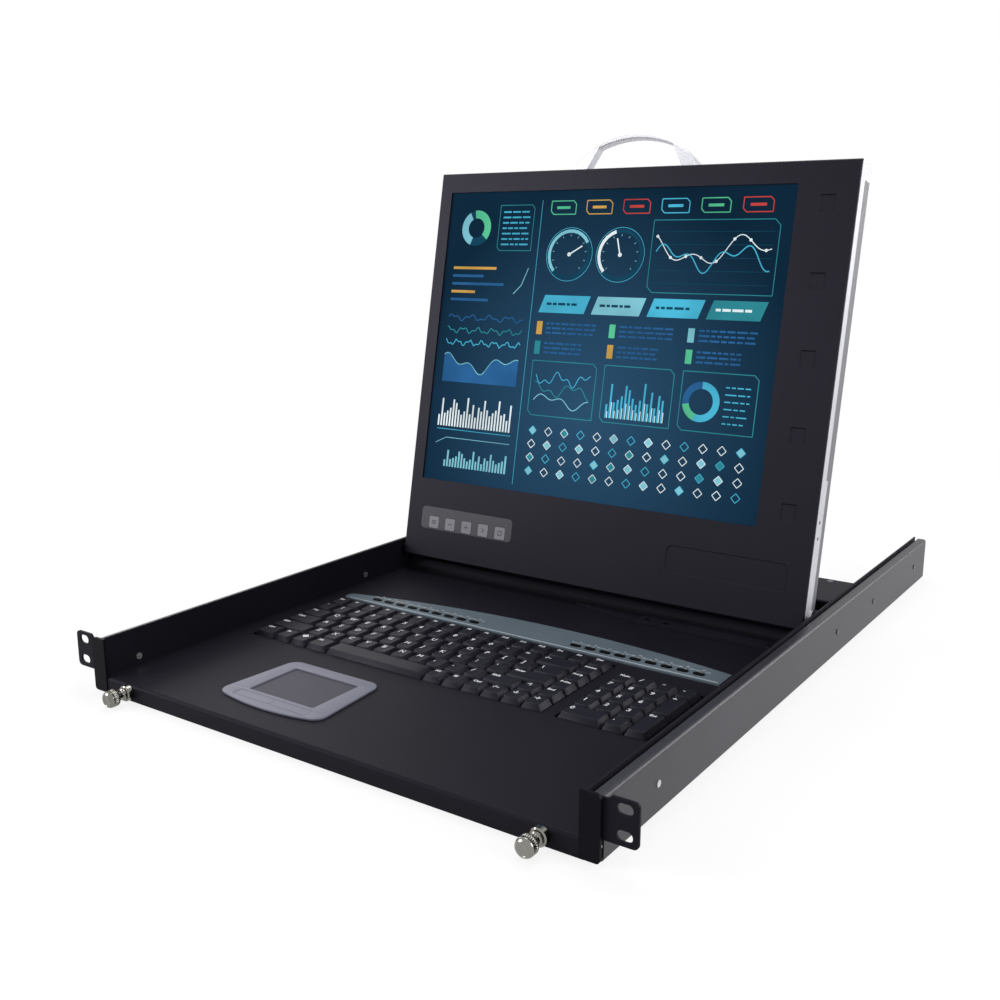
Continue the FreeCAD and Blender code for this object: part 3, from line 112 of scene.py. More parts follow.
def makeMaterial(name, look):
    # clouded colour, fine grain in the roughness and in the bump
    look = {**plainLook, **look}
    material = bpy.data.materials.new(name)
    material.use_nodes = True
    tree = material.node_tree
    shader = tree.nodes["Principled BSDF"]
    coords = addNode(tree, "ShaderNodeTexCoord").outputs["Object"]
    cloud = noiseOf(tree, coords, look["cloudScale"], look["cloudDetail"])
    color = mixColors(tree, rangeOf(tree, cloud, 0, 1), look["color"], look["shade"])
    grain = noiseOf(tree, coords, look["grainScale"], look["grainDetail"], look["stretch"])
    if look["fleck"]:
        flecks = rangeOf(tree, grain, 0, look["fleck"], *look["fleckRange"])
        color = mixColors(tree, flecks, color, look["fleckColor"])
    tree.links.new(color, shader.inputs["Base Color"])
    low, high = look["roughness"]
    tree.links.new(rangeOf(tree, grain, low, high), shader.inputs["Roughness"])
    bump = addNode(tree, "ShaderNodeBump")
    bump.inputs["Strength"].default_value = look["bump"]
    bump.inputs["Distance"].default_value = look["depth"]
    tree.links.new(grain, bump.inputs["Height"])
    tree.links.new(bump.outputs["Normal"], shader.inputs["Normal"])
    shader.inputs["Metallic"].default_value = look["metallic"]
    shader.inputs["Specular IOR Level"].default_value = look["specular"]
    shader.inputs["Specular Tint"].default_value = (*look["tint"], 1)
    return material


lookFields = ("color", "shade", "grainScale", "roughness", "bump", "depth")
lookRows = {  # the fields above in their order, then what departs from the plain look
    "blackCoat": ((0.0040, 0.0036, 0.0060), (0.0062, 0.0056, 0.0090), 1500, (0.50, 0.62), 0.18,
        0.00006, {"specular": 0.085, "tint": (0.86, 0.82, 1.0), "fleck": 0.5,
        "fleckColor": (0.016, 0.015, 0.021)}),
    "barCoat": ((0.0020, 0.0018, 0.0030), (0.0032, 0.0029, 0.0046), 1500, (0.50, 0.60), 0.18,
        0.00006, {"specular": 0.07, "tint": (0.88, 0.84, 1.0)}),
    # the same black coat as blackCoat, but its colour is painted lighter: painted light standing in
    # for the sheen on the rails' lit sides
    "railCoatPaintedLight": ((0.015, 0.014, 0.019), (0.021, 0.020, 0.027), 1500, (0.36, 0.48), 0.16, 0.00006,
        {"specular": 0.40, "tint": (0.96, 0.94, 1.0)}),
    "blackMoulding": ((0.0050, 0.0046, 0.0078), (0.0078, 0.0072, 0.0115), 2200, (0.42, 0.54), 0.25,
        0.00005, {"specular": 0.15, "tint": (0.84, 0.80, 1.0), "fleck": 0.5,
        "fleckColor": (0.018, 0.017, 0.024)}),
    "mediaMoulding": ((0.0016, 0.0016, 0.0020), (0.0028, 0.0028, 0.0034), 1800, (0.46, 0.58), 0.05,
        0.00003, {"specular": 0.06}),
    "keyMoulding": ((0.0062, 0.0058, 0.0092), (0.0092, 0.0086, 0.0130), 1800, (0.38, 0.50), 0.08,
        0.00004, {"specular": 0.15, "tint": (0.86, 0.83, 1.0)}),
    "silverMoulding": ((0.070, 0.094, 0.114), (0.098, 0.126, 0.150), 2600, (0.40, 0.54), 0.06,
        0.00003, {"fleck": 0.22, "fleckColor": (0.22, 0.27, 0.31), "specular": 0.25}),
    "frameMoulding": ((0.112, 0.113, 0.150), (0.150, 0.151, 0.196), 2600, (0.40, 0.54), 0.06,
        0.00003, {"fleck": 0.25, "fleckColor": (0.32, 0.32, 0.40), "specular": 0.25}),
    # partly real, a raised bead, and partly painted: its light colour is a painted highlight of
    # that edge
    "beadPaintedHighlight": ((0.30, 0.33, 0.38), (0.38, 0.41, 0.46), 2600, (0.34, 0.46), 0.05, 0.00003,
        {"specular": 0.35}),
    "padMoulding": ((0.034, 0.032, 0.045), (0.048, 0.045, 0.061), 2600, (0.54, 0.66), 0.10,
        0.00003, {"fleck": 0.2, "fleckColor": (0.11, 0.10, 0.13), "specular": 0.2}),
    "silverMetal": ((0.38, 0.38, 0.42), (0.46, 0.46, 0.50), 420, (0.34, 0.46), 0.05, 0.00003,
        {"stretch": (1, 14, 14), "metallic": 0.35}),
    "handleMetal": ((0.52, 0.52, 0.56), (0.62, 0.62, 0.66), 420, (0.34, 0.46), 0.05, 0.00003,
        {"stretch": (14, 1, 1), "metallic": 0.35}),
    "greyCoat": ((0.085, 0.085, 0.098), (0.110, 0.110, 0.125), 1500, (0.40, 0.52), 0.16, 0.00006,
        {"specular": 0.35}),
    "zincSteel": ((0.46, 0.46, 0.48), (0.58, 0.58, 0.60), 260, (0.24, 0.40), 0.05, 0.00004,
        {"stretch": (10, 1, 10), "metallic": 0.95}),
    "brightSteel": ((0.55, 0.55, 0.56), (0.70, 0.70, 0.70), 600, (0.16, 0.28), 0.03, 0.00003,
        {"metallic": 1.0}),
    "darkSteel": ((0.030, 0.029, 0.034), (0.050, 0.048, 0.054), 600, (0.28, 0.40), 0.04, 0.00003,
        {"metallic": 0.6}),
    "nickelPlate": ((0.19, 0.185, 0.165), (0.25, 0.245, 0.225), 500, (0.09, 0.18), 0.02, 0.00002,
        {"metallic": 1.0}),
    "circuitBoard": ((0.010, 0.085, 0.035), (0.014, 0.110, 0.050), 700, (0.30, 0.45), 0.1, 0.0001,
        {"fleck": 0.3, "fleckColor": (0.3, 0.26, 0.10)}),
    "domeRubber": ((0.20, 0.21, 0.23), (0.27, 0.28, 0.30), 900, (0.5, 0.65), 0.1, 0.0001, {}),
    "menuFilm": ((0.165, 0.165, 0.190), (0.215, 0.215, 0.240), 2400, (0.42, 0.54), 0.06, 0.00003,
        {"specular": 0.3}),
    "overlayFilm": ((0.030, 0.028, 0.040), (0.042, 0.039, 0.052), 2400, (0.36, 0.48), 0.08,
        0.00003, {"specular": 0.3}),
}
looks = {name: {**dict(zip(lookFields, row)), **row[-1]} for name, row in lookRows.items()}
materials = {name: makeMaterial(name, look) for name, look in looks.items()}

dressing = {
    # the rails take the black coat with painted light in its lighter colour
    "railCoatPaintedLight": ["left_rail", "right_rail"],
    "blackCoat": ["drawer_tray", "keyboard_deck", "hinge_brackets", "rear_cover", "rear_panel",
                  "left_rack_ear", "right_rack_ear"],
    "barCoat": ["front_bars"],
    "zincSteel": ["left_slide_outer", "right_slide_outer", "left_slide_middle",
                  "right_slide_middle", "left_slide_inner", "right_slide_inner",
                  "keyboard_base_plate", "lcd_module"],
    "brightSteel": ["outer_ball_cages", "inner_ball_cages", "hinge_arms"],
    "darkSteel": ["panel_screws"],
    "blackMoulding": ["cable_cover", "key_guide_frame", "rear_ports", "panel_bezel"],
    "silverMoulding": ["media_strip"],
    "frameMoulding": ["touchpad_frame", "touchpad_left_button", "touchpad_right_button"],
    "padMoulding": ["touchpad_pad"],
    "mediaMoulding": ["media_keys"],
    "silverMetal": ["panel_side_frame", "panel_top_cap"],
    "handleMetal": ["panel_handle"],
    "greyCoat": ["panel_back_cover"],
    "nickelPlate": ["left_thumbscrew", "right_thumbscrew", "thumbscrew_collars"],
    "circuitBoard": ["control_boards", "main_board", "lcd_driver_board"],
    "domeRubber": ["key_membrane"],
    "overlayFilm": ["menu_overlay"],
    "menuFilm": ["menu_button_" + str(n) for n in range(1, 6)],
}
for name, members in dressing.items():
    for member in members:
        for holder in nodes[member].material_slots:
            holder.material = materials[name]


screwLook = {"metallic": 0.9, "roughness": (0.20, 0.32), "grainScale": 600,
             "bright": (0.50, 0.50, 0.51), "brightShade": (0.68, 0.68, 0.68)}
partlyDark = {  # axis, and the distances where bright gives way to dark
    "drawer_screws": ("X", (0.2030, 0.2035)),
    "rail_rivets": ("Y", (0.11, 0.10)),
}


def partlyPainted(name, axis, limits):
    # bright steel on one side of the limits and dark steel on the other
    look = dict(looks["darkSteel"], metallic=screwLook["metallic"],
                roughness=screwLook["roughness"])
    material = makeMaterial(name, look)
    tree = material.node_tree
    shader = tree.nodes["Principled BSDF"]
    place = addNode(tree, "ShaderNodeSeparateXYZ")
    tree.links.new(addNode(tree, "ShaderNodeTexCoord").outputs["Object"], place.inputs[0])
    value = addNode(tree, "ShaderNodeMath", operation="ABSOLUTE")
    tree.links.new(place.outputs[axis], value.inputs[0])
    painted = shader.inputs["Base Color"].links[0].from_socket
    grain = noiseOf(tree, addNode(tree, "ShaderNodeTexCoord").outputs["Object"],
                    screwLook["grainScale"], plainLook["grainDetail"])
    bright = mixColors(tree, grain, screwLook["bright"], screwLook["brightShade"])
    share = rangeOf(tree, value.outputs[0], 1, 0, *limits)
    tree.links.new(mixColors(tree, share, bright, painted), shader.inputs["Base Color"])
    return material


for name, (axis, limits) in partlyDark.items():
    for holder in nodes[name].material_slots:
        holder.material = partlyPainted(name, axis, limits)
print("frame dressed")


# helpers that make and place a mesh

def placePiece(name, mesh, body, material, replaced=()):
    piece = bpy.data.objects.new(name, mesh)
    bpy.context.scene.collection.objects.link(piece)
    mesh.materials.append(material)
    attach(piece, body)
    if replaced:
        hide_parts(*replaced)
    return piece


sharpAngle = math.radians(42)


def finishMesh(name, work, smooth=True):
    bmesh.ops.recalc_face_normals(work, faces=work.faces)
    mesh = bpy.data.meshes.new(name)
    work.to_mesh(mesh)
    work.free()
    if smooth:
        mesh.shade_smooth()
        mesh.set_sharp_from_angle(angle=sharpAngle)
    return mesh


def roundedLoop(left, right, front, back, corner, steps=3):
    # a rectangle with round corners
    points = []
    centres = ((right - corner, back - corner, 0), (left + corner, back - corner, 90),
               (left + corner, front + corner, 180), (right - corner, front + corner, 270))
    for x, y, start in centres:
        for step in range(steps + 1):
            angle = math.radians(start + 90 * step / steps)
            points.append((x + corner * math.cos(angle), y + corner * math.sin(angle)))
    return points


# key caps and their letters, one piece for each row that moves
keyLook = {"gap": 0.0009, "sideTaper": 0.0026, "frontTaper": 0.0015, "backTaper": 0.0009,
           "corner": 0.0012, "dish": 0.00035, "edge": 0.00030, "capHeight": 0.0046,
           "shoulder": 0.0008, "shoulderTaper": 0.90, "crest": 0.00006, "crestInset": 0.7,
           "topInset": 1.6, "cornerShare": 0.4, "dishRings": (0.78, 0.45)}
keyCount = {"mainColumns": 16, "padColumns": 4, "padRows": 5}
rowCells = {  # where each key starts and how wide it is, in key widths
    "bottom_row_keys": [(0, 1.25), (1.25, 1), (2.25, 1), (3.25, 1.25), (10, 1), (11, 1),
                        (12, 1), (13, 1), (14, 1), (15, 1)],
    "space_bar": [(4.5, 5.5)],
    "lower_letter_keys": [(0, 2.25)] + [(2.25 + n, 1) for n in range(10)]
                         + [(12.25, 1.75), (14, 1), (15, 1)],
    "home_row_keys": [(0, 1.75)] + [(1.75 + n, 1) for n in range(11)] + [(12.75, 2.25), (15, 1)],
    "upper_letter_keys": [(0, 1.5)] + [(1.5 + n, 1) for n in range(12)] + [(13.5, 1.5), (15, 1)],
    "number_row_keys": [(n, 1) for n in range(13)] + [(13, 2), (15, 1)],
    "function_row_keys": [(n, 1) for n in range(16)],
}
rowLegends = {
    "bottom_row_keys": ["Ctrl", "Fn", "◆", "Alt", "Alt", "≡", "Ctrl", "←",
                        "↓", "→"],
    "space_bar": [""],
    "lower_letter_keys": ["Shift"] + list("ZXCVBNM,./") + ["Shift", "↑", "End"],
    "home_row_keys": ["Caps"] + list("ASDFGHJKL;'") + ["Enter", "PgDn"],
    "upper_letter_keys": ["Tab"] + list("QWERTYUIOP[]") + ["\\", "PgUp"],
    "number_row_keys": list("`1234567890-=") + ["←", "Home"],
    "function_row_keys": ["Esc"] + ["F" + str(n) for n in range(1, 13)] + ["Prt", "Ins", "Del"],
}
# number keys: column, row, width and depth in key widths
padCells = [(0, 0, 2, 1), (2, 0, 1, 1), (3, 0, 1, 2), (3, 2, 1, 2)]
padCells += [(column, row, 1, 1) for row in (1, 2, 3) for column in range(3)]
padCells += [(column, 4, 1, 1) for column in range(4)]
padLegends = list("0.") + ["Ent", "+"] + list("123456789") + ["Num", "/", "*", "-"]


def keySpans():
    # left, right, front and back of each key, from the boxes of the rows
    spans = {}
    gap = keyLook["gap"]
    low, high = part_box("function_row_keys")
    start = low.x - gap / 2
    pitch = (high.x - low.x + gap) / keyCount["mainColumns"]
    for name, cells in rowCells.items():
        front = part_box(name)[0].y - gap / 2
        spans[name] = [(start + place * pitch, start + (place + width) * pitch, front,
                        front + pitch) for place, width in cells]
    low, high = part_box("number_pad_keys")
    start, front = low.x - gap / 2, low.y - gap / 2
    wide = (high.x - low.x + gap) / keyCount["padColumns"]
    deep = (high.y - low.y + gap) / keyCount["padRows"]
    spans["number_pad_keys"] = [(start + column * wide, start + (column + across) * wide,
                                 front + row * deep, front + (row + along) * deep)
                                for column, row, across, along in padCells]
    return spans


def dishHeight(x, left, right, top):
    # the top sinks a little between its left and right edges
    share = (2 * x - left - right) / (right - left)
    return top - keyLook["dish"] * max(0.0, 1 - share * share)


def addCap(work, cell, top):
    left, right, front, back = cell
    half = keyLook["gap"] / 2
    side, near, far = keyLook["sideTaper"], keyLook["frontTaper"], keyLook["backTaper"]
    low = top - keyLook["capHeight"]
    edge = keyLook["edge"]
    corner = keyLook["corner"]
    levels = [(0.0, low, 0.0), (keyLook["shoulderTaper"], top - keyLook["shoulder"], 0.0),
              (1.0, top - edge, 0.0), (1.0, top - keyLook["crest"], edge * keyLook["crestInset"]),
              (1.0, top, edge * keyLook["topInset"])]
    rings = []
    for share, height, inset in levels:
        points = roundedLoop(left + half + side * share + inset,
                             right - half - side * share - inset,
                             front + half + near * share + inset,
                             back - half - far * share - inset,
                             corner - inset * keyLook["cornerShare"])
        rings.append([work.verts.new((x, y, height)) for x, y in points])
    innerLeft, innerRight = left + half + side, right - half - side
    middle = Vector(((innerLeft + innerRight) / 2, (front + near + back - far) / 2, 0))
    for share in keyLook["dishRings"]:
        ring = []
        for vert in rings[len(levels) - 1]:
            x = middle.x + (vert.co.x - middle.x) * share
            y = middle.y + (vert.co.y - middle.y) * share
            ring.append(work.verts.new((x, y, dishHeight(x, innerLeft, innerRight, top))))
        rings.append(ring)
    for outer, inner in zip(rings, rings[1:]):
        for index in range(len(outer)):
            following = (index + 1) % len(outer)
            work.faces.new((outer[index], outer[following], inner[following], inner[index]))
    centre = work.verts.new((middle.x, middle.y, dishHeight(middle.x, innerLeft, innerRight, top)))
    last = rings[-1]
    for index in range(len(last)):
        work.faces.new((last[index], last[(index + 1) % len(last)], centre))
    work.faces.new(list(reversed(rings[0])))


legendLook = {"letterSize": 0.0066, "wordSize": 0.0040, "lift": 0.00004, "sideMargin": 0.0016,
              "backMargin": 0.0018, "bold": 0.00016, "capShare": 0.75}
legendMaterial = makeMaterial("legendInk", {"color": (0.55, 0.55, 0.58),
                                            "shade": (0.66, 0.66, 0.69),
                                            "roughness": (0.5, 0.6), "bump": 0.02})
letterShapes = {}


def letterShape(text, size):
    # the mesh of a word, made once for each size
    key = (text, size)
    if key not in letterShapes:
        curve = bpy.data.curves.new("legend", "FONT")
        curve.body = text
        curve.size = size
        curve.offset = legendLook["bold"]
        curve.resolution_u = 2
        holder = bpy.data.objects.new("legend", curve)
        bpy.context.scene.collection.objects.link(holder)
        bpy.context.view_layer.update()
        letterShapes[key] = bpy.data.meshes.new_from_object(
            holder.evaluated_get(bpy.context.evaluated_depsgraph_get()))
        bpy.data.objects.remove(holder)
    return letterShapes[key]


def addLegend(work, text, cell, top):
    if not text:
        return
    left, right, front, back = cell
    size = legendLook["letterSize"] if len(text) == 1 else legendLook["wordSize"]
    shape = letterShape(text, size)
    inner = keyLook["gap"] / 2 + keyLook["sideTaper"]
    x = left + inner + legendLook["sideMargin"]
    y = (back - keyLook["gap"] / 2 - keyLook["backTaper"] - legendLook["backMargin"]
         - size * legendLook["capShare"])
    z = top + legendLook["lift"]
    before = len(work.verts)
    work.from_mesh(shape)
    work.verts.ensure_lookup_table()
    bmesh.ops.translate(work, verts=work.verts[before:], vec=(x, y, z))


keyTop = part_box("home_row_keys")[1].z
for name, cells in keySpans().items():
    body = name.replace("_keys", "")
    caps = bmesh.new()
    legends = bmesh.new()
    texts = padLegends if name == "number_pad_keys" else rowLegends[name]
    for cell, text in zip(cells, texts):
        addCap(caps, cell, keyTop)
        addLegend(legends, text, cell, keyTop)
    placePiece(body + "_caps", finishMesh(body + "_caps", caps), body, materials["keyMoulding"],
               [name])
    if legends.verts:
        placePiece(body + "_legends", finishMesh(body + "_legends", legends, False), body,
                   legendMaterial)
    else:
        legends.free()
print("keys made")


# places on the tilted display, counted from the glass
panelLook = {"tilt": math.radians(11), "windowMargin": 0.0034}
sine, cosine = math.sin(panelLook["tilt"]), math.cos(panelLook["tilt"])
glassLow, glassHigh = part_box("lcd_glass")
glassSize = glassHigh - glassLow
spread = cosine ** 2 - sine ** 2
glassTall = (glassSize.z * cosine - glassSize.y * sine) / spread
glassThick = (glassSize.y * cosine - glassSize.z * sine) / spread
glassFoot = Vector((glassLow.x, glassLow.y, glassLow.z + glassThick * sine))


def panelPoint(x, up, deep):
    # x and up from the lower left corner of the glass, deep behind its front
    return Vector((glassFoot.x + x, glassFoot.y + up * sine + deep * cosine,
                   glassFoot.z + up * cosine - deep * sine))


# flat shapes with rounded corners and edges

def roundCorners(points, radii, steps=5):
    # a closed outline whose corners are arcs, one radius per corner
    rounded = []
    for index, (corner, radius) in enumerate(zip(points, radii)):
        here = Vector(corner)
        before = (Vector(points[index - 1]) - here).normalized()
        after = (Vector(points[(index + 1) % len(points)]) - here).normalized()
        if radius <= 0:
            rounded.append(here)
            continue
        half = before.angle(after) / 2
        reach = radius / math.tan(half)
        centre = here + (before + after).normalized() * radius / math.sin(half)
        start = here + before * reach - centre
        end = here + after * reach - centre
        turn = math.pi - 2 * half
        if start.x * end.y - start.y * end.x < 0:
            turn = -turn
        for step in range(steps + 1):
            angle = turn * step / steps
            rounded.append(centre + Vector((start.x * math.cos(angle) - start.y * math.sin(angle),
                                            start.x * math.sin(angle) + start.y * math.cos(angle))))
    return rounded


def filledShape(name, outlines, low, high, bevel):
    # the first outline is the rim and the others are holes, with all edges rounded
    curve = bpy.data.curves.new(name, "CURVE")
    curve.dimensions = "2D"
    curve.fill_mode = "BOTH"
    curve.extrude = (high - low) / 2 - bevel
    curve.bevel_depth = bevel
    curve.bevel_resolution = 2
    curve.offset = -bevel
    for outline in outlines:
        spline = curve.splines.new("POLY")
        spline.points.add(len(outline) - 1)
        for point, (x, y) in zip(spline.points, outline):
            point.co = (x, y, 0, 1)
        spline.use_cyclic_u = True
    holder = bpy.data.objects.new(name, curve)
    bpy.context.scene.collection.objects.link(holder)
    bpy.context.view_layer.update()
    shape = bpy.data.meshes.new_from_object(
        holder.evaluated_get(bpy.context.evaluated_depsgraph_get()))
    bpy.data.objects.remove(holder)
    work = bmesh.new()
    work.from_mesh(shape)
    bmesh.ops.translate(work, verts=work.verts, vec=(0, 0, (low + high) / 2))
    bmesh.ops.remove_doubles(work, verts=work.verts, dist=1e-6)
    return finishMesh(name, work)


# wide surround of the touchpad, with a window and a pocket for the buttons
surroundLook = {"frontHalf": 0.0498, "backHalf": 0.0434, "bow": 0.0072, "bowSteps": 14,
                "front": 0.0026, "back": 0.0018, "corner": 0.0095, "windowGap": 0.0005,
                "windowCorner": 0.0018, "buttonGap": 0.00035, "buttonCorner": 0.0008,
                "edge": 0.00045, "rise": 0.0002}
frameLow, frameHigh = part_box("touchpad_frame")
padLow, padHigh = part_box("touchpad_pad")
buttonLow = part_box("touchpad_left_button")[0]
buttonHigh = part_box("touchpad_right_button")[1]
middle = (frameLow.x + frameHigh.x) / 2
front = frameLow.y + surroundLook["front"]
back = frameHigh.y + surroundLook["back"]
wide, narrow = surroundLook["frontHalf"], surroundLook["backHalf"]
rim = [(middle - wide, front)]
bowSteps = surroundLook["bowSteps"]
for step in range(2, bowSteps - 1):  # the corner arcs need the room of the first and last step
    share = 2 * step / bowSteps - 1
    rim.append((middle + wide * share, front - surroundLook["bow"] * (1 - share * share)))
rim += [(middle + wide, front), (middle + narrow, back), (middle - narrow, back)]
radii = [surroundLook["corner"]] + [0] * (bowSteps - 3) + [surroundLook["corner"]] * 3
gap = surroundLook["windowGap"]
window = roundedLoop(padLow.x - gap, padHigh.x + gap, padLow.y - gap, padHigh.y + gap,
                     surroundLook["windowCorner"])
gap = surroundLook["buttonGap"]
pocket = roundedLoop(buttonLow.x - gap, buttonHigh.x + gap, buttonLow.y - gap, buttonHigh.y + gap,
                     surroundLook["buttonCorner"])
placePiece("touchpad_surround",
           filledShape("touchpad_surround", [roundCorners(rim, radii), window, pocket],
                       frameLow.z, frameHigh.z + surroundLook["rise"], surroundLook["edge"]),
           "drawer", materials["frameMoulding"], ["touchpad_frame"])
print("touchpad surround made")

# raised bead on the media strip, its light colour a painted highlight of its edge, and printed
# marks
stripLook = {"beadWidth": 0.0011, "beadRise": 0.0003, "beadInset": 0.0022, "beadSink": 0.0004,
             "beadCorner": 0.0005, "beadEdge": 0.0002, "leftMargin": 0.006, "rightMargin": 0.002,
             "markSize": 0.0013, "markBack": 0.0068, "markLift": 0.00004, "barShare": 0.4}
stripLow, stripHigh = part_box("media_strip")
beadFront = stripLow.y + stripLook["beadInset"]
bead = roundedLoop(stripLow.x + stripLook["leftMargin"], stripHigh.x - stripLook["rightMargin"],
                   beadFront, beadFront + stripLook["beadWidth"], stripLook["beadCorner"])
placePiece("strip_bead",
           filledShape("strip_bead", [bead], stripHigh.z - stripLook["beadSink"],
                       stripHigh.z + stripLook["beadRise"], stripLook["beadEdge"]),
           "drawer", materials["beadPaintedHighlight"])


def loosePatches(mesh):
    # middles of the separate lumps of a mesh
    work = bmesh.new()
    work.from_mesh(mesh)
    work.verts.ensure_lookup_table()
    seen, middles = set(), []
    for vert in work.verts:
        if vert.index in seen:
            continue
        stack, lump = [vert], []
        seen.add(vert.index)
        while stack:
            here = stack.pop()
            lump.append(here.co.copy())
            for edge in here.link_edges:
                other = edge.other_vert(here)
                if other.index not in seen:
                    seen.add(other.index)
                    stack.append(other)
        low = [min(point[axis] for point in lump) for axis in range(3)]
        high = [max(point[axis] for point in lump) for axis in range(3)]
        middles.append(Vector([(a + b) / 2 for a, b in zip(low, high)]))
    work.free()
    return middles


marks = bmesh.new()
size = stripLook["markSize"]
thin = size * stripLook["barShare"]
shapes = ([(-size, -size), (size, 0), (-size, size)],
          [(-size, -thin), (size, -thin), (size, thin), (-size, thin)],
          [(0, -size), (size, 0), (0, size), (-size, 0)])
height = stripHigh.z + stripLook["markLift"]
for index, spot in enumerate(sorted(loosePatches(nodes["media_keys"].data), key=lambda v: v.x)):
    x, y = spot.x, spot.y + stripLook["markBack"]
    marks.faces.new([marks.verts.new((x + a, y + b, height)) for a, b in shapes[index % 3]])
markMaterial = makeMaterial("stripInk", {"color": (0.26, 0.30, 0.33), "shade": (0.36, 0.40, 0.43),
                                         "roughness": (0.5, 0.6), "bump": 0.02, "specular": 0.2})
placePiece("strip_marks", finishMesh("strip_marks", marks, False), "drawer", markMaterial)
print("media strip dressed")

# turned thumbscrews with a toothed rim
thumbLook = {
    "teeth": 30, "toothDepth": 0.00032,
    "face": [(0.0, 0.0004), (0.00365, 0.0004), (0.0042, 0.0)],  # radius, distance from the tip
    "head": [(-0.0018, 0.0002, False), (-0.0007, 0.0009, False), (-0.0001, 0.0021, False),
             (0.0, 0.0024, False), (0.0, 0.0026, True), (0.0, 0.0062, True),
             (0.0, 0.0064, False), (-0.0005, 0.0066, False), (-0.0005, 0.0071, False),
             (0.0, 0.0073, False), (-0.0002, 0.0079, False), (-0.0009, 0.0082, False)],
    "neck": [(0.0046, 0.0086), (0.0037, 0.0096), (0.0037, 0.0127), (0.0045, 0.0135),
             (0.0045, 0.0147), (0.0030, 0.0147)],
    "shank": 0.0030, "point": 0.0022, "pointLength": 0.0008,
}


def thumbProfile(head, length):
    # radius, distance from the tip, and whether the ring is toothed
    rings = [(radius, along, False) for radius, along in thumbLook["face"]]
    rings += [(head + inset, along, toothed) for inset, along, toothed in thumbLook["head"]]
    rings += [(radius, along, False) for radius, along in thumbLook["neck"]]
    rings += [(thumbLook["shank"], length - thumbLook["pointLength"], False),
              (thumbLook["point"], length, False), (0.0, length, False)]
    return rings


def addThumbscrew(work, low, high):
    middleX, middleZ = (low.x + high.x) / 2, (low.z + high.z) / 2
    count = thumbLook["teeth"] * 4
    rings = []
    for radius, along, toothed in thumbProfile((high.x - low.x) / 2, high.y - low.y):
        if radius == 0:
            rings.append([work.verts.new((middleX, low.y + along, middleZ))])
            continue
        ring = []
        for step in range(count):
            angle = math.tau * step / count
            reach = radius - (thumbLook["toothDepth"] if toothed and step % 4 in (2, 3) else 0.0)
            ring.append(work.verts.new((middleX + reach * math.cos(angle), low.y + along,
                                        middleZ + reach * math.sin(angle))))
        rings.append(ring)
    for first, second in zip(rings, rings[1:]):
        for step in range(count):
            following = (step + 1) % count
            if len(first) == 1:
                work.faces.new((first[0], second[step], second[following]))
            elif len(second) == 1:
                work.faces.new((first[step], first[following], second[0]))
            else:
                work.faces.new((first[step], first[following], second[following], second[step]))


for side in ("left", "right"):
    name = side + "_thumbscrew"
    work = bmesh.new()
    addThumbscrew(work, *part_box(name))
    mesh = finishMesh(name + "_turned", work)
    placePiece(name + "_turned", mesh, side + "_screw", materials["nickelPlate"],
               [name])
print("thumbscrews made")


# printed marks on the menu buttons
markLook = {"size": 0.0021, "width": 0.0007, "lift": 0.00004}
markShapes = {  # strokes in shares of the mark's size
    1: [[(-1, -0.7), (1, -0.7)], [(-1, 0), (1, 0)], [(-1, 0.7), (1, 0.7)]],
    2: [[(-1, 0), (1, 0)]],
    3: [[(-1, 0), (1, 0)], [(0, -1), (0, 1)]],
    4: [[(-0.7, 1), (0.7, 0), (-0.7, -1)]],
    5: [[(-0.9, -0.9), (0.9, -0.9), (0.9, 0.9), (-0.9, 0.9), (-0.9, -0.9)]],
}
markInk = makeMaterial("menuInk", {"color": (0.035, 0.034, 0.042), "shade": (0.05, 0.048, 0.058),
                                   "roughness": (0.5, 0.6), "bump": 0.02, "specular": 0.2})
for number, strokes in markShapes.items():
    low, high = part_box("menu_button_" + str(number))
    size = high - low
    thick = (size.y * cosine - size.z * sine) / spread
    offset = (low + high) / 2 - glassFoot
    up = offset.y * sine + offset.z * cosine
    deep = offset.y * cosine - offset.z * sine - thick / 2 - markLook["lift"]
    work = bmesh.new()
    for stroke in strokes:
        for (x1, y1), (x2, y2) in zip(stroke, stroke[1:]):
            run = Vector((x2 - x1, y2 - y1)).normalized()
            side = Vector((-run.y, run.x)) * markLook["width"] / 2
            run = run * markLook["width"] / 2
            ends = [Vector((x1, y1)) * markLook["size"] - run,
                    Vector((x2, y2)) * markLook["size"] + run]
            corners = [ends[0] - side, ends[1] - side, ends[1] + side, ends[0] + side]
            work.faces.new([work.verts.new(panelPoint(offset.x + corner.x, up + corner.y, deep))
                            for corner in corners])
    name = "menu_mark_" + str(number)
    placePiece(name, finishMesh(name, work, False), "menu_key_" + str(number), markInk)
print("menu marks made")

# picture on the screen
screenLook = {"glow": 1.0, "layerStep": 0.00002, "unlitShare": 0.1, "shadeShare": 0.72,
              "cloudScale": 30.0}
groundLook = {"color": (0.002, 0.006, 0.012), "shade": (0.003, 0.008, 0.016),
              "glow": (0.0022, 0.0125, 0.026), "glowShade": (0.0034, 0.0180, 0.038),
              "patch": (0.022, 0.070, 0.135), "patchPlace": (0.50, 0.30),
              "patchReach": (0.01, 0.20), "cloudScale": 7.0}
screenColors = {
    "white": (0.80, 0.90, 0.92), "cyan": (0.07, 0.46, 0.66), "pale": (0.22, 0.56, 0.66),
    "teal": (0.030, 0.25, 0.30), "blue": (0.025, 0.12, 0.30), "deep": (0.008, 0.06, 0.11),
    "green": (0.10, 0.55, 0.30), "amber": (0.62, 0.36, 0.08), "red": (0.55, 0.06, 0.05),
}


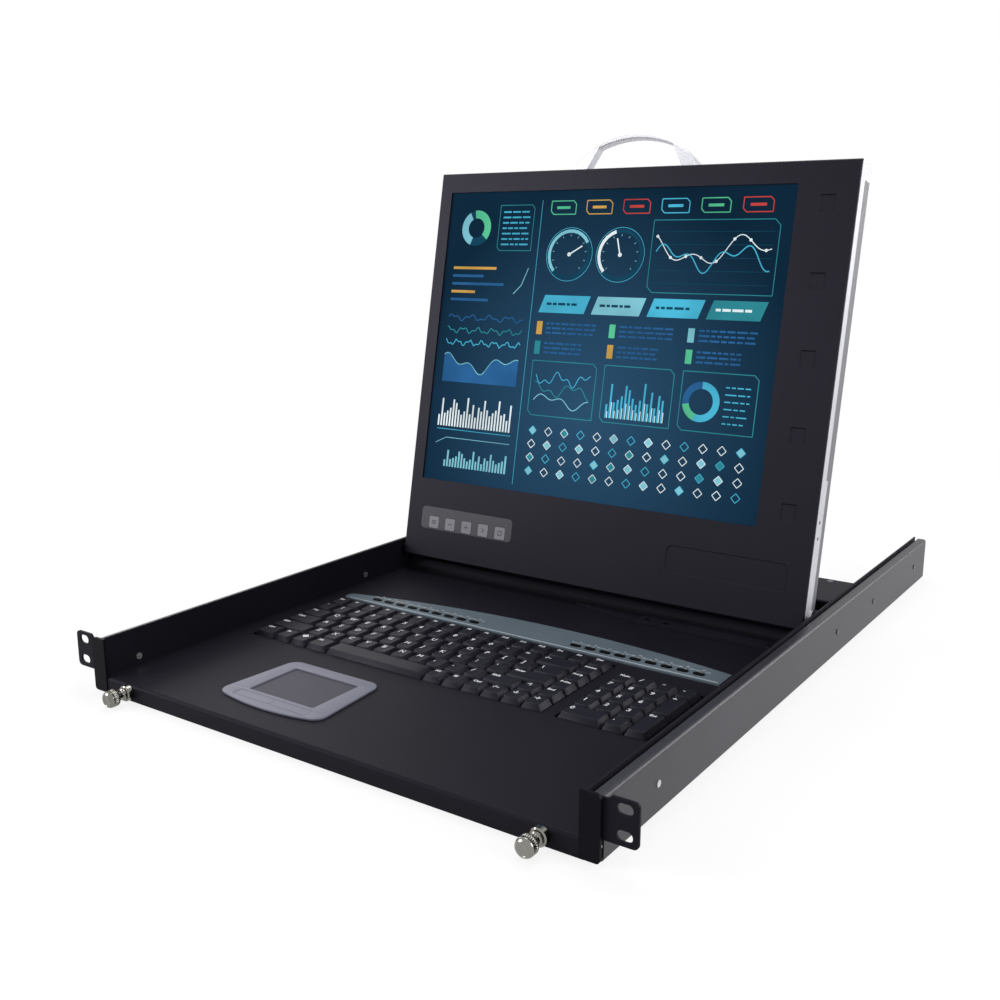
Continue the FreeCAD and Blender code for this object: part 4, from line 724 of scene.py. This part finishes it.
def screenMaterial(name, color, shade):
    # what the picture is made of, with its node tree and the place its glow starts from
    material = makeMaterial(name, {"color": color, "shade": shade, "roughness": (0.30, 0.38),
                                   "bump": 0.01, "specular": 0.0})
    tree = material.node_tree
    shader = tree.nodes["Principled BSDF"]
    shader.inputs["Emission Strength"].default_value = screenLook["glow"]
    coords = addNode(tree, "ShaderNodeTexCoord").outputs["Object"]
    return material, tree, coords, shader.inputs["Emission Color"]


def glowMaterial(name, color):
    shade = tuple(c * screenLook["shadeShare"] for c in color)
    unlit = [tuple(c * screenLook["unlitShare"] for c in tone) for tone in (color, shade)]
    material, tree, coords, glow = screenMaterial(name, *unlit)
    cloud = noiseOf(tree, coords, screenLook["cloudScale"], 1.0)
    tree.links.new(mixColors(tree, rangeOf(tree, cloud, 0, 1), color, shade), glow)
    return material


def screenGround():
    # navy with a brighter patch low in the middle
    look = groundLook
    material, tree, coords, glow = screenMaterial("screenGround", look["color"], look["shade"])
    across, up = look["patchPlace"]
    distance = addNode(tree, "ShaderNodeVectorMath", operation="DISTANCE")
    distance.inputs[1].default_value = panelPoint(glassSize.x * across, glassTall * up, 0)
    tree.links.new(coords, distance.inputs[0])
    near = rangeOf(tree, distance.outputs["Value"], 1, 0, *look["patchReach"])
    cloud = noiseOf(tree, coords, look["cloudScale"], 2.0)
    broad = mixColors(tree, rangeOf(tree, cloud, 0, 1), look["glow"], look["glowShade"])
    tree.links.new(mixColors(tree, near, broad, look["patch"]), glow)
    return material


def around(x, y, reach, angle):
    return x + reach * math.cos(angle), y + reach * math.sin(angle)


class Picture:
    # flat shapes by colour, in metres from the lower left corner of the screen window;
    # each layer lies a little in front of the one before
    def __init__(self):
        self.work = {}
        self.layer = 1

    def face(self, color, points):
        work = self.work.setdefault(color, bmesh.new())
        deep = -self.layer * screenLook["layerStep"]
        margin = panelLook["windowMargin"]
        work.faces.new([work.verts.new(panelPoint(x + margin, y + margin, deep))
                        for x, y in points])

    def bar(self, color, left, low, right, high):
        self.face(color, [(left, low), (right, low), (right, high), (left, high)])

    def frame(self, color, left, low, right, high, width, cut):
        outer = [(left + cut, low), (right, low), (right, high - cut), (right - cut, high),
                 (left, high), (left, low + cut)]
        self.line(color, outer + [outer[0]], width)

    def line(self, color, points, width):
        for (x1, y1), (x2, y2) in zip(points, points[1:]):
            run = Vector((x2 - x1, y2 - y1))
            side = Vector((-run.y, run.x)).normalized() * width / 2
            self.face(color, [(x1 - side.x, y1 - side.y), (x2 - side.x, y2 - side.y),
                              (x2 + side.x, y2 + side.y), (x1 + side.x, y1 + side.y)])

    def arc(self, color, x, y, radius, width, start=0.0, end=360.0, parts=28):
        inner, outer = radius - width / 2, radius + width / 2
        count = max(2, int(parts * abs(end - start) / 360))
        for step in range(count):
            a = math.radians(start + (end - start) * step / count)
            b = math.radians(start + (end - start) * (step + 1) / count)
            self.face(color, [around(x, y, inner, a), around(x, y, outer, a),
                              around(x, y, outer, b), around(x, y, inner, b)])


picture = Picture()


dialLook = {"band": 0.0030, "rim": 0.0005, "start": 225, "sweep": 270, "ticks": 11,
            "tick": (0.0048, 0.0030), "tickLine": 0.0005, "handGap": 0.006, "handLine": 0.0012,
            "hub": 0.0012, "hubLine": 0.0014}


def dial(x, y, radius, share, color):
    band, start, sweep = dialLook["band"], dialLook["start"], dialLook["sweep"]
    picture.arc("deep", x, y, radius, band)
    picture.arc("cyan", x, y, radius + band, dialLook["rim"])
    picture.layer += 1
    picture.arc(color, x, y, radius, band, start, start - sweep * share)
    for step in range(dialLook["ticks"]):
        angle = math.radians(start - sweep * step / (dialLook["ticks"] - 1))
        picture.line("pale", [around(x, y, radius - inset, angle) for inset in dialLook["tick"]],
                     dialLook["tickLine"])
    angle = math.radians(start - sweep * share)
    picture.line("white", [(x, y), around(x, y, radius - dialLook["handGap"], angle)],
                 dialLook["handLine"])
    picture.arc("white", x, y, dialLook["hub"], dialLook["hubLine"], parts=12)


def ring(ground, x, y, radius, width, arcs):
    picture.arc(ground, x, y, radius, width)
    picture.layer += 1
    for color, start, end in arcs:
        picture.arc(color, x, y, radius, width, start, end)


waveLook = {"steps": 44, "wave": 6.283, "ripple": 15, "waveShare": 0.6, "rippleShare": 0.4}


def waveLine(color, left, right, middle, height, turns, width, seed):
    points = []
    for step in range(waveLook["steps"] + 1):
        share = step / waveLook["steps"]
        value = (math.sin(share * turns * waveLook["wave"] + seed) * waveLook["waveShare"]
                 + math.sin(share * turns * waveLook["ripple"] + seed) * waveLook["rippleShare"])
        points.append((left + (right - left) * share, middle + value * height / 2))
    picture.line(color, points, width)
    return points


barLook = {"least": 0.35, "spread": 0.65, "fast": 1.7, "slow": 0.6}


def barRow(color, left, right, low, height, count, width=0.5):
    pitch = (right - left) / count
    for index in range(count):
        wave = abs(math.sin(index * barLook["fast"]) * math.cos(index * barLook["slow"]))
        x = left + index * pitch
        picture.bar(color, x, low, x + pitch * width,
                    low + height * (barLook["least"] + barLook["spread"] * wave))


dashLook = {"shortest": 0.003, "longest": 0.010, "space": 0.0015, "margin": 0.002}


def dashTable(color, left, low, right, rows, pitch, width=0.0011):
    for row in range(rows):
        x = left
        y = low + row * pitch
        while x < right - dashLook["margin"]:
            run = min(random.uniform(dashLook["shortest"], dashLook["longest"]), right - x)
            picture.bar(color, x, y, x + run, y + width)
            x += run + dashLook["space"]


# the wide side, block by block from the top, with sizes in metres
wideLook = {"left": 0.112, "divider": 0.008, "dividerEnds": (0.006, 0.268)}
tagLook = {"low": 0.255, "inset": 0.002, "pitch": 0.0372, "wide": 0.026, "tall": 0.012,
           "line": 0.0009, "cut": 0.003,
           "colors": ("green", "amber", "red", "cyan", "green", "red")}
trendLook = {"low": 0.187, "dials": ((0.026, 0.72, "pale"), (0.078, 0.44, "white")),
             "dialUp": 0.032, "dialRadius": 0.021, "left": 0.108, "right": 0.222, "tall": 0.062,
             "waves": (("cyan", 0.030, 0.026, 1.6, 0.0010, 0.4),
                       ("white", 0.036, 0.030, 1.1, 0.0008, 2.2))}
tabLook = {"low": 0.166, "pitch": 0.0555, "tall": 0.016, "slant": (0.048, 0.0535, 0.0055),
           "colors": (("cyan", "deep"), ("pale", "deep"), ("cyan", "deep"), ("teal", "white"))}
listLook = {"low": 0.128, "pitch": 0.0760,  # rows: marker low, high, text low, right
            "rows": ((0.018, 0.030, 0.019, 0.062), (0.0, 0.012, 0.001, 0.050)),
            "colors": (("amber", "teal"), ("green", "amber"), ("pale", "green"))}
chartLook = {"low": 0.072, "pitch": 0.0760, "wide": 0.068, "tall": 0.050, "inset": 0.005,
             "bars": 16, "waves": ("pale", "teal", "cyan"), "ring": (0.014, 0.006),
             "arcs": (("cyan", 90, -110), ("green", 250, 190))}
cellLook = {"high": 0.058, "inset": 0.008, "across": 0.0170, "down": 0.0125, "size": 0.0040,
            "rows": 4, "columns": 13, "line": 0.0007}


def drawTags(start, look):
    low = look["low"]
    for index, color in enumerate(look["colors"]):
        left = start + look["inset"] + index * look["pitch"]
        picture.frame(color, left, low, left + look["wide"], low + look["tall"], look["line"],
                      look["cut"])
        picture.bar(color, left + 0.006, low + 0.0048, left + 0.020, low + 0.0072)


def drawTrend(start, look):
    low, left, right = look["low"], start + look["left"], start + look["right"]
    for place, share, color in look["dials"]:
        dial(start + place, low + look["dialUp"], look["dialRadius"], share, color)
    picture.frame("teal", left, low, right, low + look["tall"], 0.0007, 0.005)
    for step in range(5):
        height = low + 0.008 + step * 0.011
        picture.line("deep", [(left + 0.004, height), (right - 0.004, height)], 0.0005)
    picture.layer += 1
    for color, middle, *rest in look["waves"]:
        crest = waveLine(color, left + 0.005, right - 0.005, low + middle, *rest)
    for x, y in crest[::6]:  # dots along the last wave
        picture.arc("white", x, y, 0.0009, 0.0010, parts=8)


def drawTabs(start, look):
    low, high = look["low"], look["low"] + look["tall"]
    lowRight, highRight, highLeft = look["slant"]
    picture.layer += 1
    for index, (color, textColor) in enumerate(look["colors"]):
        left = start + index * look["pitch"]
        picture.face(color, [(left, low), (left + lowRight, low), (left + highRight, high),
                             (left + highLeft, high)])
    picture.layer += 1
    for index, (color, textColor) in enumerate(look["colors"]):
        left = start + 0.008 + index * look["pitch"]
        dashTable(textColor, left, low + 0.007, left + 0.032, 1, 0, 0.0022)


def drawList(start, look):
    low = look["low"]
    for index, colors in enumerate(look["colors"]):
        left = start + index * look["pitch"]
        for color, (markLow, markHigh, textLow, right) in zip(colors, look["rows"]):
            picture.bar(color, left, low + markLow, left + 0.006, low + markHigh)
            dashTable("blue", left + 0.010, low + textLow, left + right, 3, 0.0042, 0.0017)


def drawCharts(start, look):
    # waves, bars, and a ring beside a table
    low, inset, bars = look["low"], look["inset"], look["bars"]
    lefts = [start + index * look["pitch"] for index in range(3)]
    rights = [left + look["wide"] for left in lefts]
    for left, right in zip(lefts, rights):
        picture.frame("teal", left, low, right, low + look["tall"], 0.0008, 0.004)
    for line, color in enumerate(look["waves"]):
        waveLine(color, lefts[0] + inset, rights[0] - inset, low + 0.014 + line * 0.010, 0.014,
                 1.0 + line * 0.5, 0.0008, line * 1.3)
    barRow("cyan", lefts[1] + inset, rights[1] - inset, low + 0.004, 0.034, bars)
    barRow("white", lefts[1] + 0.0068, rights[1] - 0.0032, low + 0.004, 0.016, bars, 0.2)
    ring("blue", lefts[2] + 0.019, low + 0.025, *look["ring"], look["arcs"])
    dashTable("cyan", lefts[2] + 0.040, low + 0.008, rights[2] - 0.006, 6, 0.006)


def drawCells(start, look):
    size = look["size"]
    for row in range(look["rows"]):
        for column in range(look["columns"]):
            x = start + look["inset"] + column * look["across"]
            y = look["high"] - row * look["down"]
            spot = [(x, y - size), (x + size, y), (x, y + size), (x - size, y)]
            if (row * 5 + column * 3) % 7 < 2:
                picture.face("pale", spot)
            elif (row + column) % 5 == 2:
                picture.face("teal", spot)
            picture.line("white" if (row + column) % 3 else "cyan", spot + [spot[0]],
                         look["line"])


def drawWideSide(look):
    start = look["left"]
    for block, values in ((drawTags, tagLook), (drawTrend, trendLook), (drawTabs, tabLook),
                          (drawList, listLook), (drawCharts, chartLook), (drawCells, cellLook)):
        block(start, values)
    picture.line("cyan", [(start - look["divider"], y) for y in look["dividerEnds"]], 0.0005)


narrowLook = {
    "left": 0.010, "right": 0.096, "table": (0.038, 0.222, 0.264),
    "ring": (0.022, 0.243, 0.013, 0.0075), "arcs": (("green", 100, -40), ("pale", 250, 120)),
    "lying": (("amber", 0.050), ("blue", 0.036), ("blue", 0.060), ("amber", 0.028),
              ("blue", 0.044)), "lyingStep": 0.0075,
    "waves": ("blue", "teal", "cyan"), "waveHigh": 0.158, "waveStep": 0.012,
    "area": (0.114, 0.020, 1.3, 0.0009, 0.9), "areaFoot": 0.096,
    "upperBars": (0.053, 0.030, 26, 0.55), "lowerBars": (0.014, 0.018, 22, 0.6),
}


def drawNarrowSide(look):
    left, right, foot = look["left"], look["right"], look["areaFoot"]
    # ring and table
    wide, low, high = look["table"]
    picture.frame("teal", right - wide, low, right, high, 0.0007, 0.003)
    dashTable("cyan", right - 0.034, 0.227, right - 0.004, 7, 0.005, 0.0015)
    across, *rest = look["ring"]
    ring("deep", left + across, *rest, look["arcs"])
    # lying bars
    for row, (color, reach) in enumerate(look["lying"]):
        down = row * look["lyingStep"]
        picture.bar(color, left, 0.204 - down, left + reach, 0.2065 - down)
    picture.line("pale", [(right, 0.206), (right - 0.006, 0.190), (right - 0.014, 0.182)], 0.0008)
    # waves, area and standing bars
    for line, color in enumerate(look["waves"]):
        waveLine(color, left, right, look["waveHigh"] - line * look["waveStep"], 0.007,
                 4.0 + line, 0.0010, line)
    area = waveLine("pale", left, right, *look["area"])
    for (x1, y1), (x2, y2) in zip(area, area[1:]):
        picture.face("blue", [(x1, foot), (x2, foot), (x2, y2), (x1, y1)])
    barRow("white", left, right, *look["upperBars"])
    picture.line("cyan", [(left, 0.050), (right, 0.050)], 0.0006)
    picture.line("pale", [(left, 0.036), (left + 0.012, 0.042), (right, 0.042)], 0.0006)
    barRow("pale", left + 0.012, right, *look["lowerBars"])


drawWideSide(wideLook)
drawNarrowSide(narrowLook)
for holder in nodes["lcd_glass"].material_slots:
    holder.material = screenGround()
for color, work in picture.work.items():
    name = "screen_" + color
    placePiece(name, finishMesh(name, work, False), "display",
               glowMaterial(name, screenColors[color]))
print("screen drawn")


# camera, lamps and floor
cameraLook = {"place": (0.4905, -0.4914, 0.3047), "turn": -0.604, "drop": 0.227,
              "lens": 40.77, "sensor": 36, "near": 0.01, "far": 50}
camera = bpy.data.objects.new("camera", bpy.data.cameras.new("camera"))
bpy.context.scene.collection.objects.link(camera)
turn, drop = cameraLook["turn"], cameraLook["drop"]
ahead = Vector((math.sin(turn) * math.cos(drop), math.cos(turn) * math.cos(drop), -math.sin(drop)))
camera.location = cameraLook["place"]
camera.rotation_euler = ahead.to_track_quat("-Z", "Y").to_euler()
camera.data.lens = cameraLook["lens"]
camera.data.sensor_width = cameraLook["sensor"]
camera.data.clip_start = cameraLook["near"]
camera.data.clip_end = cameraLook["far"]
bpy.context.scene.camera = camera

lightLook = {"ambient": 0.42, "background": 1.0}
lamps = {  # place, watts, width, aimed at
    "frontLamp": ((-1.25, -0.95, 0.75), 20, 0.8, (0, 0.2, 0.1)),
    "sideLamp": ((1.9, 0.3, 0.9), 18, 1.1, (0, 0.2, 0.0)),
    "topLamp": ((-0.3, 0.9, 2.1), 20, 1.3, (0, 0.2, 0.1)),
    "edgeLamp": ((1.2, 1.6, 0.56), 13, 0.8, (0.1, 0.1, 0.0)),
    "leftLamp": ((-1.9, 1.1, 0.75), 6, 0.8, (-0.1, 0.1, 0.0)),
}
for name, (place, watts, width, target) in lamps.items():
    data = bpy.data.lights.new(name, "AREA")
    data.energy = watts
    data.shape = "SQUARE"
    data.size = width
    lamp = bpy.data.objects.new(name, data)
    bpy.context.scene.collection.objects.link(lamp)
    lamp.location = place
    lamp.rotation_euler = (Vector(target) - Vector(place)).to_track_quat("-Z", "Y").to_euler()


def seenDirectly(tree):
    # 1 where the camera, a reflection or a clear surface looks
    path = addNode(tree, "ShaderNodeLightPath")
    value = path.outputs["Is Camera Ray"]
    for name in ("Is Glossy Ray", "Is Transmission Ray"):
        node = addNode(tree, "ShaderNodeMath", operation="MAXIMUM")
        tree.links.new(value, node.inputs[0])
        tree.links.new(path.outputs[name], node.inputs[1])
        value = node.outputs[0]
    return value


world = bpy.data.worlds.new("studio")
bpy.context.scene.world = world
world.use_nodes = True
tree = world.node_tree
back = tree.nodes["Background"]
back.inputs["Color"].default_value = (1, 1, 1, 1)
tree.links.new(rangeOf(tree, seenDirectly(tree), lightLook["ambient"], lightLook["background"],
                       0, 1), back.inputs["Strength"])

floorLook = {"reach": 6.0, "gap": 0.0002, "glow": 0.84, "fade": (0.7, 1.4)}
floorMesh = bpy.data.meshes.new("floor")
reach = floorLook["reach"]
height = cadBox[0].z - floorLook["gap"]
floorMesh.from_pydata([(-reach, -reach, height), (reach, -reach, height), (reach, reach, height),
                       (-reach, reach, height)], [], [(0, 1, 2, 3)])
floor = bpy.data.objects.new("floor", floorMesh)
bpy.context.scene.collection.objects.link(floor)
floorMaterial = makeMaterial("floorPaper", {"color": (0.86, 0.86, 0.86),
                                            "shade": (0.90, 0.90, 0.90),
                                            "roughness": (0.8, 0.9), "bump": 0.01,
                                            "grainScale": 300, "specular": 0.0})
floorMesh.materials.append(floorMaterial)
tree = floorMaterial.node_tree
mix = addNode(tree, "ShaderNodeMixShader")
glow = addNode(tree, "ShaderNodeEmission")
glow.inputs["Strength"].default_value = lightLook["background"]
place = addNode(tree, "ShaderNodeTexCoord").outputs["Object"]
distance = addNode(tree, "ShaderNodeVectorMath", operation="LENGTH")
tree.links.new(place, distance.inputs[0])
share = rangeOf(tree, distance.outputs["Value"], floorLook["glow"], lightLook["background"],
                *floorLook["fade"])
seen = addNode(tree, "ShaderNodeMath", operation="MULTIPLY")
tree.links.new(share, seen.inputs[0])
tree.links.new(seenDirectly(tree), seen.inputs[1])
tree.links.new(seen.outputs[0], mix.inputs["Fac"])
tree.links.new(tree.nodes["Principled BSDF"].outputs["BSDF"], mix.inputs[1])
tree.links.new(glow.outputs["Emission"], mix.inputs[2])
tree.links.new(mix.outputs["Shader"], tree.nodes["Material Output"].inputs["Surface"])
bpy.context.scene.view_settings.view_transform = "Standard"
print("stage ready")
